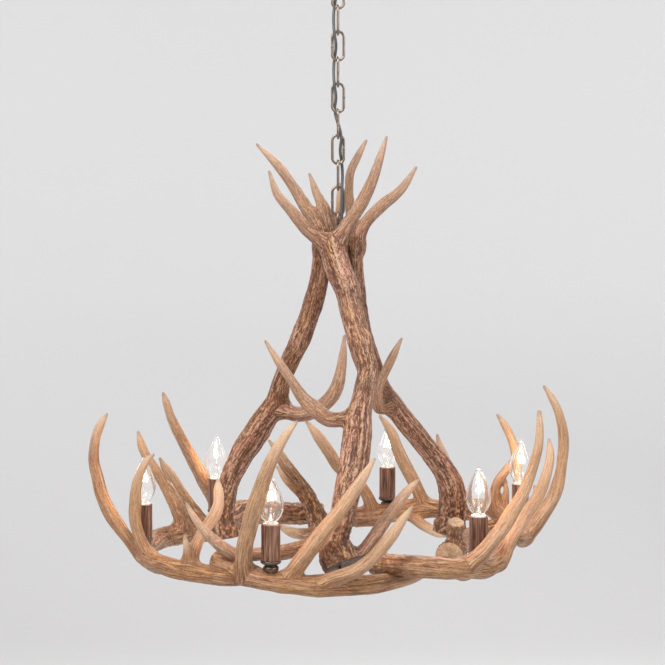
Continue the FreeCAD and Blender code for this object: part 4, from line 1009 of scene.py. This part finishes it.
def metal(name, dark, light, rough=(0.32, 0.55), metallic=1.0, scale=60, edge=0.5, wear=0.5):
    m, nt, b, out = material(name)
    big = noise(nt, coords(nt, (scale, scale, scale)), 1.0, 5.0, 0.6)
    small = noise(nt, coords(nt, (scale * 9, scale * 9, scale * 9)), 1.0, 3.0, 0.6)
    geo = nt.nodes.new("ShaderNodeNewGeometry")
    edges = ramp(nt, geo.outputs["Pointiness"], (0.48, 0.0), (0.56, edge))
    f = math_node(nt, "ADD", math_node(nt, "MULTIPLY", math_node(nt, "ADD", big, math_node(nt, "MULTIPLY", small, 0.5)), 0.66), edges)
    c = ramp(nt, f, (0.42, dark), (0.42 + 0.3 * (1.2 - wear), light))
    nt.links.new(c, b.inputs["Base Color"])
    b.inputs["Metallic"].default_value = metallic
    nt.links.new(ramp(nt, small, (0.3, rough[0]), (0.7, rough[1])), b.inputs["Roughness"])
    bump(nt, b, small, 0.25, 0.0003)
    return m


def plastic(name, colour, rough=0.45, grain=500, vary=0.12):
    m, nt, b, out = material(name)
    n1 = noise(nt, coords(nt, (grain, grain, grain)), 1.0, 3.0, 0.6)
    n2 = noise(nt, coords(nt, (30, 30, 30)), 1.0, 3.0, 0.5)
    c = ramp(nt, n2, (0.3, tuple(x * (1 - vary) for x in colour)), (0.7, tuple(min(x * (1 + vary), 1) for x in colour)))
    nt.links.new(c, b.inputs["Base Color"])
    nt.links.new(ramp(nt, n1, (0.3, rough - 0.08), (0.7, rough + 0.1)), b.inputs["Roughness"])
    bump(nt, b, n1, 0.2, 0.0002)
    return m


def threads(m, pitch, depth=0.0003):
    nt = m.node_tree
    b = next(n for n in nt.nodes if n.type == "BSDF_PRINCIPLED")
    w = nt.nodes.new("ShaderNodeTexWave")
    w.wave_type, w.bands_direction = "BANDS", "Z"
    w.inputs["Scale"].default_value = 1.0
    nt.links.new(coords(nt, (1, 1, 0.314 / pitch)), w.inputs["Vector"])
    bump(nt, b, w.outputs["Fac"], 0.8, depth)
    return m


def sleeve_material():
    m, nt, b, out = material("candle_sleeve")
    grain = noise(nt, coords(nt, (620, 620, 26)), 1.0, 5.0, 0.7, 0.5)
    band = noise(nt, coords(nt, (190, 190, 11)), 1.0, 3.0, 0.55, 1.0)
    f = math_node(nt, "ADD", math_node(nt, "MULTIPLY", grain, 0.5), math_node(nt, "MULTIPLY", band, 0.5))
    c = ramp(nt, f, (0.38, (0.036, 0.014, 0.008)), (0.46, (0.150, 0.066, 0.040)), (0.55, (0.32, 0.165, 0.105)), (0.66, (0.60, 0.40, 0.29)))
    nt.links.new(c, b.inputs["Base Color"])
    nt.links.new(ramp(nt, grain, (0.3, 0.42), (0.7, 0.62)), b.inputs["Roughness"])
    bump(nt, b, f, 0.6, 0.0006)
    return m


def glass_material():
    m, nt, b, out = material("bulb_glass")
    n1 = noise(nt, coords(nt, (40, 40, 40)), 1.0, 2.0, 0.5)
    nt.links.new(ramp(nt, n1, (0.2, (0.985, 0.985, 0.98)), (0.8, (1, 1, 1))), b.inputs["Base Color"])
    nt.links.new(ramp(nt, n1, (0.3, 0.02), (0.7, 0.045)), b.inputs["Roughness"])
    b.inputs["Transmission Weight"].default_value = 1.0
    b.inputs["IOR"].default_value = 1.46
    b.inputs["Emission Color"].default_value = (1.0, 0.90, 0.78, 1)
    b.inputs["Emission Strength"].default_value = 0.03
    return m


def glow_material():
    m, nt, b, out = material("filament_glow")
    n1 = noise(nt, coords(nt, (300, 300, 300)), 1.0, 2.0, 0.5)
    c = ramp(nt, n1, (0.3, (1.0, 0.80, 0.52)), (0.7, (1.0, 0.88, 0.68)))
    nt.links.new(c, b.inputs["Emission Color"])
    nt.links.new(c, b.inputs["Base Color"])
    b.inputs["Emission Strength"].default_value = 20.0
    return m


def stage_material(name, colour):
    """Plain paper, with painted shade that makes it darker toward the floor."""
    m, nt, b, out = material(name)
    n1 = noise(nt, coords(nt, (0.35, 0.35, 0.35)), 1.0, 2.0, 0.5)
    c = ramp(nt, n1, (0.3, tuple(x * 0.99 for x in colour)), (0.7, colour))
    sep = nt.nodes.new("ShaderNodeSeparateXYZ")
    nt.links.new(coords(nt, (1, 1, 1)), sep.inputs[0])
    # painted shade: the same paper is multiplied darker the nearer it lies to the floor
    low = math_node(nt, "MULTIPLY", math_node(nt, "ADD", sep.outputs[2], 1.62), 1.1, True)
    c = mix(nt, low, mix(nt, 1.0, c, (0.89, 0.885, 0.88), "MULTIPLY"), c)
    nt.links.new(c, b.inputs["Base Color"])
    b.inputs["Roughness"].default_value = 0.9
    b.inputs["Specular IOR Level"].default_value = 0.1
    return m


TAN = antler_material("antler_tan", (0.115, 0.046, 0.018), (0.42, 0.205, 0.093), (0.86, 0.58, 0.36), (0.86, 0.60, 0.40), (0.22, 0.105, 0.052), 0.12, (0.36, 0.22, 0.12))
DARK = antler_material("antler_dark", (0.085, 0.030, 0.014), (0.335, 0.150, 0.080), (0.84, 0.58, 0.42), (0.86, 0.58, 0.40), (0.20, 0.092, 0.050), 0.62, (0.27, 0.155, 0.09))
ROUGH = antler_material("antler_rough", (0.095, 0.036, 0.016), (0.37, 0.172, 0.082), (0.84, 0.58, 0.37), (0.86, 0.59, 0.38), (0.22, 0.105, 0.056), 0.5, (0.85, 0.54, 0.33))
BRONZE = metal("bronze_metal", (0.050, 0.038, 0.029), (0.35, 0.29, 0.235), (0.26, 0.5), 1.0, 150, 0.35, 0.55)
ZINC = metal("zinc_steel", (0.34, 0.34, 0.33), (0.62, 0.62, 0.60), (0.30, 0.5), 1.0, 45, 0.2, 0.5)
ZINC_THREAD = threads(metal("zinc_thread", (0.34, 0.34, 0.33), (0.62, 0.62, 0.60), (0.30, 0.5), 1.0, 45, 0.2, 0.5), 0.001)
BLACK = metal("dark_screws", (0.02, 0.018, 0.016), (0.12, 0.11, 0.10), (0.35, 0.6), 1.0, 120, 0.35, 0.4)
GREEN = metal("green_screw", (0.015, 0.11, 0.035), (0.05, 0.25, 0.09), (0.35, 0.5), 0.4, 60, 0.3, 0.5)
CUP = metal("cup_bronze", (0.026, 0.019, 0.014), (0.20, 0.155, 0.115), (0.30, 0.5), 1.0, 110, 0.35, 0.42)
BRASS = metal("bulb_base", (0.42, 0.36, 0.24), (0.72, 0.64, 0.46), (0.2, 0.38), 1.0, 100, 0.2, 0.6)
BUSH = plastic("black_plastic", (0.02, 0.02, 0.02), 0.42)
ORANGE = plastic("connector_plastic", (0.62, 0.24, 0.045), 0.4)
JACKET = plastic("cord_jacket", (0.115, 0.112, 0.108), 0.36, 700, 0.2)
WHITE = plastic("socket_white", (0.78, 0.765, 0.72), 0.38, 300, 0.05)
SLEEVE = sleeve_material()
GLASS = glass_material()
GLOW = glow_material()


def dress(ob, mat):
    ob.data.materials.clear()
    ob.data.materials.append(mat)
    return ob


def place(ob, mat, body, slot, *nodes):
    dress(ob, mat)
    if nodes:
        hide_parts(*nodes)
    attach(ob, body)
    return ob


# ---------------------------------------------------------------- camera, then the cord
look_camera()

PITCH, HINGE_0 = 0.037, -0.070
CORD_D = 0.0044

curve = bpy.data.curves.new("cord_line", "CURVE")
curve.dimensions = "3D"
sp = curve.splines.new("NURBS")
sp.points.add(len(CORD_ROUTE) - 1)
for p, q in zip(sp.points, CORD_ROUTE):
    p.co = (*q, 1)
sp.order_u = 3
sp.use_endpoint_u = True
sp.resolution_u = 8
line_ob = bpy.data.objects.new("cord_line", curve)
bpy.context.scene.collection.objects.link(line_ob)
bpy.context.view_layer.update()
line_mesh = bpy.data.meshes.new_from_object(line_ob)
line = np.array([v.co[:] for v in line_mesh.vertices])
bpy.data.objects.remove(line_ob)
bpy.data.meshes.remove(line_mesh)
if line[0][2] < line[-1][2]:
    line = line[::-1]

whole = tube("cord_whole", line, CORD_D / 2, sides=18, caps=False)
rings = np.array([v.co[:] for v in whole.data.vertices]).reshape(len(line), 18, 3)
bpy.data.meshes.remove(whole.data)
joints_at = [0] + [int(np.argmin(np.abs(line[:, 2] - (HINGE_0 - PITCH * (k + 0.5))))) for k in range(10)] + [len(line) - 1]
for k in range(11):
    i, j = joints_at[k], joints_at[k + 1]
    v = rings[i:j + 1].reshape(-1, 3)
    n = j - i + 1
    a, c = np.meshgrid(np.arange(n - 1), np.arange(18), indexing="ij")
    f = np.stack([a * 18 + c, a * 18 + (c + 1) % 18, (a + 1) * 18 + (c + 1) % 18, (a + 1) * 18 + c], -1).reshape(-1, 4)
    f = [tuple(int(x) for x in q) for q in f]
    if k == 0:
        f.append(tuple(range(18))[::-1])
    if k == 10:
        f.append(tuple((n - 1) * 18 + q for q in range(18)))
    span = new_mesh("cord_span_%02d" % (k + 1), v, f)
    dress(span, JACKET)
    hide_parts("supply_cord")
    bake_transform(span)

# ---------------------------------------------------------------- antlers
LOOKS = {
    "upright_front": dict(cut={"beam": "end"}, past=0.009, rough=0.62, groove=1.0, seed=11, burr=0.12, mat=DARK),
    "upright_left": dict(cut={"beam": "end"}, rough=0.60, groove=1.0, seed=23, burr=0.14, mat=DARK),
    "upright_right": dict(cut={"beam": "end"}, pearl=1.5, rough=0.62, groove=1.0, seed=37, burr=0.12, mat=DARK),
    "ring_front": dict(cut={}, rough=0.30, groove=0.55, seed=41, burr=0.10, pearl=0.25, mat=TAN),
    "ring_left": dict(cut={"beam": "start"}, rough=0.34, groove=0.55, seed=53, burr=0.08, pearl=0.3, mat=TAN),
    "ring_back_left": dict(cut={"beam": "end"}, rough=0.72, groove=0.8, seed=67, burr=0.14, mat=ROUGH),
    "inner_back": dict(cut={"beam": "start"}, rough=0.86, groove=0.8, seed=71, burr=0.22, mat=ROUGH),
    "ring_back": dict(cut={"beam": "start"}, rough=0.45, groove=0.7, seed=83, burr=0.12, mat=TAN),
    "ring_right": dict(cut={"beam": "start"}, rough=0.34, groove=0.55, seed=97, burr=0.10, mat=TAN),
    "ring_back_right": dict(cut={}, rough=0.42, groove=0.7, seed=101, burr=0.12, mat=TAN),
    "inner_right": dict(cut={"beam": "start", "stub": "end"}, rough=0.84, groove=0.8, seed=113, burr=0.22, mat=ROUGH),
}
HOSTS = {"1": ("ring_front",), "2": ("ring_right",), "3": ("ring_back",), "4": ("ring_back_right",),
         "5": ("ring_left", "ring_back_left"), "6": ("ring_back_left",)}
SEAT_Z = -0.909
for name, limbs in ANTLERS.items():
    look = LOOKS[name]
    clear = []
    for c, x, y in CANDLES:
        if name in HOSTS[c]:
            clear.append((x / 1000, y / 1000, SEAT_Z, SEAT_Z + 0.03, 0.0112))
            clear.append((x / 1000, y / 1000, SEAT_Z + 0.0088, SEAT_Z + 0.034, 0.0149))
    if name.startswith("upright"):
        clear.append((0.0, 0.0, -0.536, -0.462, 0.0131))
    ob = build_antler("antler_" + name, limbs, look, clear)
    place(ob, look["mat"], "fixture", look["mat"].name.split(".")[0], name)

# ---------------------------------------------------------------- chain
def stadium(z, broad, width=0.0165, length=0.0413, n=112):
    r, half = width / 2, length / 2 - width / 2
    total = 2 * math.pi * r + 4 * half
    pts = []
    for i in range(n):
        s = total * i / n
        if s < 2 * half:
            a, b = r, -half + s
        elif s < 2 * half + math.pi * r:
            t = (s - 2 * half) / r
            a, b = r * math.cos(t), half + r * math.sin(t)
        elif s < 4 * half + math.pi * r:
            a, b = -r, half - (s - 2 * half - math.pi * r)
        else:
            t = math.pi + (s - 4 * half - math.pi * r) / r
            a, b = r * math.cos(t), -half + r * math.sin(t)
        pts.append((a, 0, z + b) if broad else (0, a, z + b))
    return pts


for k in range(10):
    z = (2 * HINGE_0 - PITCH * (2 * k + 1)) / 2 + 0.00215
    pts = stadium(z, k % 2 == 1)
    s = np.arange(112)
    # a weld half way down one side, and the slight waves of bent wire
    weld = 0.00024 * np.exp(-((s - (15 if k % 3 else 71)) / 1.3) ** 2) - 0.00012 * np.exp(-((np.abs(s - (15 if k % 3 else 71)) - 3.2) / 1.2) ** 2)
    radii = 0.00199 - 0.00005 * (1 + np.sin(s * 0.37 + k)) + weld
    ob = tube("chain_wire_%02d" % (k + 1), pts, 0.002, sides=20, closed=True, radii=radii)
    place(ob, BRONZE, "link_%02d" % (k + 1), "bronze_metal", "chain_link_%02d" % (k + 1))

# ---------------------------------------------------------------- canopy
R, D, T = 0.0625, 0.030, 0.001
outer = [(R + .0015, 0), (R + .0015, -.0014), (R - .0006, -.0032), (R - .0035, -.0085), (R - .0085, -.0145), (R - .016, -.0202),
         (R - .025, -.0248), (R - .032, -.0278), (.00485 + .019, -D), (.00525, -D)]
inner = [(.00525, -D + T), (.00485 + .019, -D + T), (R - .0324, -.0278 + T), (R - .0255, -.0248 + T),
         (R - .0167, -.0202 + T), (R - .0094, -.0145 + T), (R - .0045, -.0085 + T), (R - .0017, -.0032 + T), (R - .001, 0)]
prof = rounded(outer, 0.004, 4) + rounded(inner, 0.004, 4)
canopy = lathe("canopy_shell", prof, 96, closed=True)
# the hole that the cord's bushing sits in
hx, hy, hr = -0.017, 0.007, 0.0042
bm = bmesh.new()
bm.from_mesh(canopy.data)
for v in bm.verts:
    if v.co.z < -0.020:
        d = math.hypot(v.co.x - hx, v.co.y - hy)
        if d < 0.009 and d > 1e-6:
            t = hr + (0.009 - hr) * (d / 0.009) ** 1.0
            v.co.x, v.co.y = hx + (v.co.x - hx) * t / d, hy + (v.co.y - hy) * t / d
bm.to_mesh(canopy.data)
bm.free()
auto_smooth(canopy, 50)
place(canopy, BRONZE, "ceiling", "bronze_metal", "canopy")

# ---------------------------------------------------------------- candles
def catmull(points, step):
    p = [(a, 0, b, 0.01) for a, b in points]
    q = curve_line(p, step)
    return [(max(a, 0.0), b) for a, b in q[:, (0, 2)]]


BULB = [(6.05, -0.6), (6.1, 2.0), (8.5, 4.5), (12.2, 9.0), (15.4, 15.0), (17.2, 21.0), (17.45, 25.0),
        (16.9, 31.0), (15.4, 38.0), (12.9, 45.0), (9.8, 52.0), (6.4, 58.5), (3.6, 63.5), (1.4, 67.0)]
TOP = -0.847
CUP_PROFILE = rounded([(.00495, .0001), (.0105, .0001), (.0105, .005), (.0082, .0066), (.0082, .008), (.0118, .0092), (.014, .0112), (.014, .0137),
                       (.00495, .0137)], 0.0009, 3)
CUP_PROFILE = [(r, z + SEAT_Z) for r, z in CUP_PROFILE]
cups = []
for num, (c, xm, ym) in enumerate(CANDLES):
    x, y = xm / 1000, ym / 1000
    body = "bulb_" + c
    rng = np.random.default_rng(50 + num)
    # the sleeve, cast with upright wood grain and a split or two
    phase = rng.random(3) * 6.28
    cracks = rng.random(5) * 6.28

    def grained(th, r, z, phase=phase, cracks=cracks, num=num):
        if r < 0.0122:
            return np.full(len(th), r)
        p = np.stack([np.cos(th) * 5.5, np.sin(th) * 5.5, np.full(len(th), z / 0.021)], 1)
        g = noise3(p + 11.0 * num, 7 + num) - 0.5
        h = noise3(p * np.array([2.3, 2.3, 1.6]) + 3.0 * num, 17 + num) - 0.5
        w = -0.00022 + 0.00036 * g + 0.00022 * h
        for q in cracks:
            d = np.angle(np.exp(1j * (th - q - 0.05 * math.sin(z * 240 + q))))
            w = w - 0.00055 * np.exp(-(d / 0.045) ** 2) * (0.5 + 0.5 * math.sin(z * 95 + q * 5))
        return r + np.minimum(w, -0.00002)

    sz0, sz1 = -0.8949, TOP
    wall = [(0.0116, sz0), (0.0129, sz0)] + [(0.013, sz0 + 0.0003 + (sz1 - sz0 - 0.0006) * i / 34) for i in range(35)] + [(0.0129, sz1), (0.0116, sz1)]
    ob = lathe("sleeve_" + c, wall, 128, (x, y, 0), wobble=grained, closed=True)
    auto_smooth(ob, 60)
    place(ob, SLEEVE, "fixture", "candle_sleeve", "candle_sleeve_" + c)
    # the cup that it stands in
    cup = lathe("cup_" + c, CUP_PROFILE, 64, (x, y, 0), closed=True)
    auto_smooth(cup, 40)
    place(cup, CUP, "fixture", "cup_bronze", "candle_cups")
    # the bulb: thin blown glass, its tip drawn out a little to one side
    prof = catmull([(a / 1000, b / 1000) for a, b in BULB], 0.0012)
    prof = prof + [(0.0004, 0.0677)]
    inn = [(max(a - 0.0008, 0.0), b - (0.0006 if b > 0.06 else 0.0)) for a, b in prof if b < 0.0655]
    lean = (0.0018 if c in "14" else 0.0010)
    ang = rng.random() * 6.28
    bulb = lathe("bulb_" + c + "_glass", [(a, TOP + b) for a, b in prof] + [(0.0, TOP + 0.0678)] + [(0.0, TOP + 0.0652)] + [(a, TOP + b) for a, b in inn[::-1]],
                 56, (x, y, 0), closed=True)
    co = np.array([v.co[:] for v in bulb.data.vertices])
    up = np.clip((co[:, 2] - TOP - 0.045) / 0.023, 0, 1) ** 2
    co[:, 0] += lean * up * math.cos(ang)
    co[:, 1] += lean * up * math.sin(ang)
    bulb.data.vertices.foreach_set("co", co.astype(np.float32).ravel())
    bulb.data.update()
    place(bulb, GLASS, body, "bulb_glass", "bulb_glass_" + c)
    bulb.visible_shadow = False
    # the nickelled screw shell with its thread and contact
    shell = [(0, TOP - 0.017), (0.0022, TOP - 0.017), (0.0026, TOP - 0.0152), (0.0046, TOP - 0.0141)]
    for i in range(44):
        zz = TOP - 0.0136 + 0.0126 * i / 43
        shell.append((0.00562 + 0.00026 * math.cos((zz - TOP) / 0.0026 * 2 * math.pi), zz))
    shell += [(0.0049, TOP + 0.0004), (0.0049, TOP + 0.0024), (0, TOP + 0.0028)]
    sh = lathe("bulb_" + c + "_shell", shell, 40, (x, y, 0))
    place(sh, BRASS, body, "bulb_base", "bulb_base_" + c)
    # inside the glass: the flared stem, two leads and the lit filament
    stem = lathe("bulb_" + c + "_stem", [(0, TOP + .0029), (.0042, TOP + .003), (.0036, TOP + .006), (.0021, TOP + .0095), (.0014, TOP + .014),
                                        (.0013, TOP + .019), (.0019, TOP + .021), (.0010, TOP + .0225), (0, TOP + .0228)], 24, (x, y, 0))
    place(stem, GLASS, body, "bulb_glass")
    turn = rng.random() * 3.14
    ca, sa = math.cos(turn), math.sin(turn)
    for side in (-1, 1):
        pts = []
        for i in range(13):
            t = i / 12
            off = side * (0.0011 + 0.0036 * min(t * 1.3, 1) ** 1.5)
            pts.append((x + ca * off, y + sa * off, TOP + 0.020 + 0.012 * t))
        lead = tube("bulb_%s_lead_%s" % (c, "a" if side < 0 else "b"), pts, 0.00022, sides=8)
        place(lead, ZINC, body, "bulb_base")
    pts = []
    for i in range(49):
        t = i / 48
        ww = 0.0047 * (1 - 2 * t)
        hh = 0.0125 * math.sin(math.pi * t) ** 0.6 - 0.0042 * math.exp(-((t - 0.5) / 0.10) ** 2)
        pts.append((x + ca * ww, y + sa * ww, TOP + 0.032 + hh))
    fil = tube("bulb_" + c + "_filament", pts, 0.0011, sides=10)
    place(fil, GLOW, body, "bulb_glass")
    # the warm light it throws on the tines beside it
    lamp = bpy.data.lights.new("lamp_" + c, "POINT")
    lamp.energy, lamp.color, lamp.shadow_soft_size = 0.09, (1.0, 0.50, 0.20), 0.004
    lamp_ob = bpy.data.objects.new("lamp_" + c, lamp)
    lamp_ob.location = (x, y, TOP + 0.036)
    bpy.context.scene.collection.objects.link(lamp_ob)

# ---------------------------------------------------------------- the long screws, sunk below the antlers' skin
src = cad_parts["joining_screws"].data
bm = bmesh.new()
bm.from_mesh(src)
bmesh.ops.remove_doubles(bm, verts=bm.verts, dist=1e-6)
left = set(bm.verts)
while left:
    first = left.pop()
    island, stack = [first], [first]
    while stack:
        v = stack.pop()
        for e in v.link_edges:
            o = e.other_vert(v)
            if o in left:
                left.discard(o)
                island.append(o)
                stack.append(o)
    mid = sum((v.co for v in island), Vector()) / len(island)
    co = np.array([v.co[:] for v in island])
    axis = np.linalg.svd(co - co.mean(0), full_matrices=False)[2][0]
    ax = Vector(axis)
    s = [(v.co - mid).dot(ax) for v in island]
    lo, hi = min(s), max(s)
    centre = mid + ax * (lo + hi) / 2
    for v in island:
        d = v.co - centre
        along = d.dot(ax)
        v.co = centre + ax * along * (1 - 0.0064 / (hi - lo)) + (d - ax * along) * 0.92
me = bpy.data.meshes.new("sunk_screws")
bm.to_mesh(me)
bm.free()
screws = bpy.data.objects.new("sunk_screws", me)
bpy.context.scene.collection.objects.link(screws)
place(screws, BLACK, "fixture", "dark_screws", "joining_screws")

# ---------------------------------------------------------------- carried-over CAD nodes
for names, mat in (
        (("ceiling_crossbar", "nipple_locknut", "stem_locknuts"), ZINC),
        (("threaded_nipple", "candle_stems"), ZINC_THREAD),
        (("ground_screw",), GREEN),
        (("canopy_collar", "canopy_loop", "crown_eye_bolt", "crown_hub", "crown_hub_nut"), BRONZE),
        (("crown_bolts",), BLACK),
        (("cord_bushing",), BUSH),
        (("wire_connectors",), ORANGE),
        (("lamp_sockets",), WHITE)):
    for n in names:
        dress(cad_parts[n], mat)

# ---------------------------------------------------------------- floor, backdrop and light
FLOOR_Z = -1.62
prof = [(-6.0, FLOOR_Z), (2.2, FLOOR_Z)]
for i in range(1, 17):
    t = math.pi / 2 * i / 16
    prof.append((2.2 + 1.2 * math.sin(t), FLOOR_Z + 1.2 * (1 - math.cos(t))))
prof.append((3.4, 4.5))
v, f = [], []
for yy, zz in prof:
    v += [(-7.0, yy, zz), (7.0, yy, zz)]
for i in range(len(prof) - 1):
    f.append((2 * i, 2 * i + 1, 2 * i + 3, 2 * i + 2))
sweep = new_mesh("backdrop", v, f)
dress(sweep, stage_material("backdrop_paper", (0.735, 0.735, 0.745)))

area_light("key", (-1.5, -2.0, 1.35), (0, 0, -0.75), 1.0, 70, (1.0, 0.98, 0.95))
area_light("fill", (2.1, -1.8, 0.5), (0, 0, -0.75), 1.5, 31, (1.0, 0.985, 0.97))
area_light("top", (0.0, -0.9, 1.9), (0, 0, -0.75), 1.2, 30, (1.0, 0.99, 0.97))
area_light("rim", (0.6, 1.9, 0.6), (0, 0, -0.7), 1.3, 22, (1.0, 1.0, 1.0))
area_light("wall_left", (-2.6, 0.6, 0.5), (-0.9, 3.4, -0.2), 1.6, 32)
area_light("wall_right", (2.6, 0.6, 0.5), (0.9, 3.4, -0.2), 1.6, 36)
w = bpy.data.worlds.new("studio")
bpy.context.scene.world = w
w.use_nodes = True
w.node_tree.nodes["Background"].inputs[0].default_value = (0.98, 0.965, 1.0, 1)
w.node_tree.nodes["Background"].inputs[1].default_value = 0.24
bpy.context.scene.view_settings.view_transform = "Standard"

bpy.context.view_layer.update()
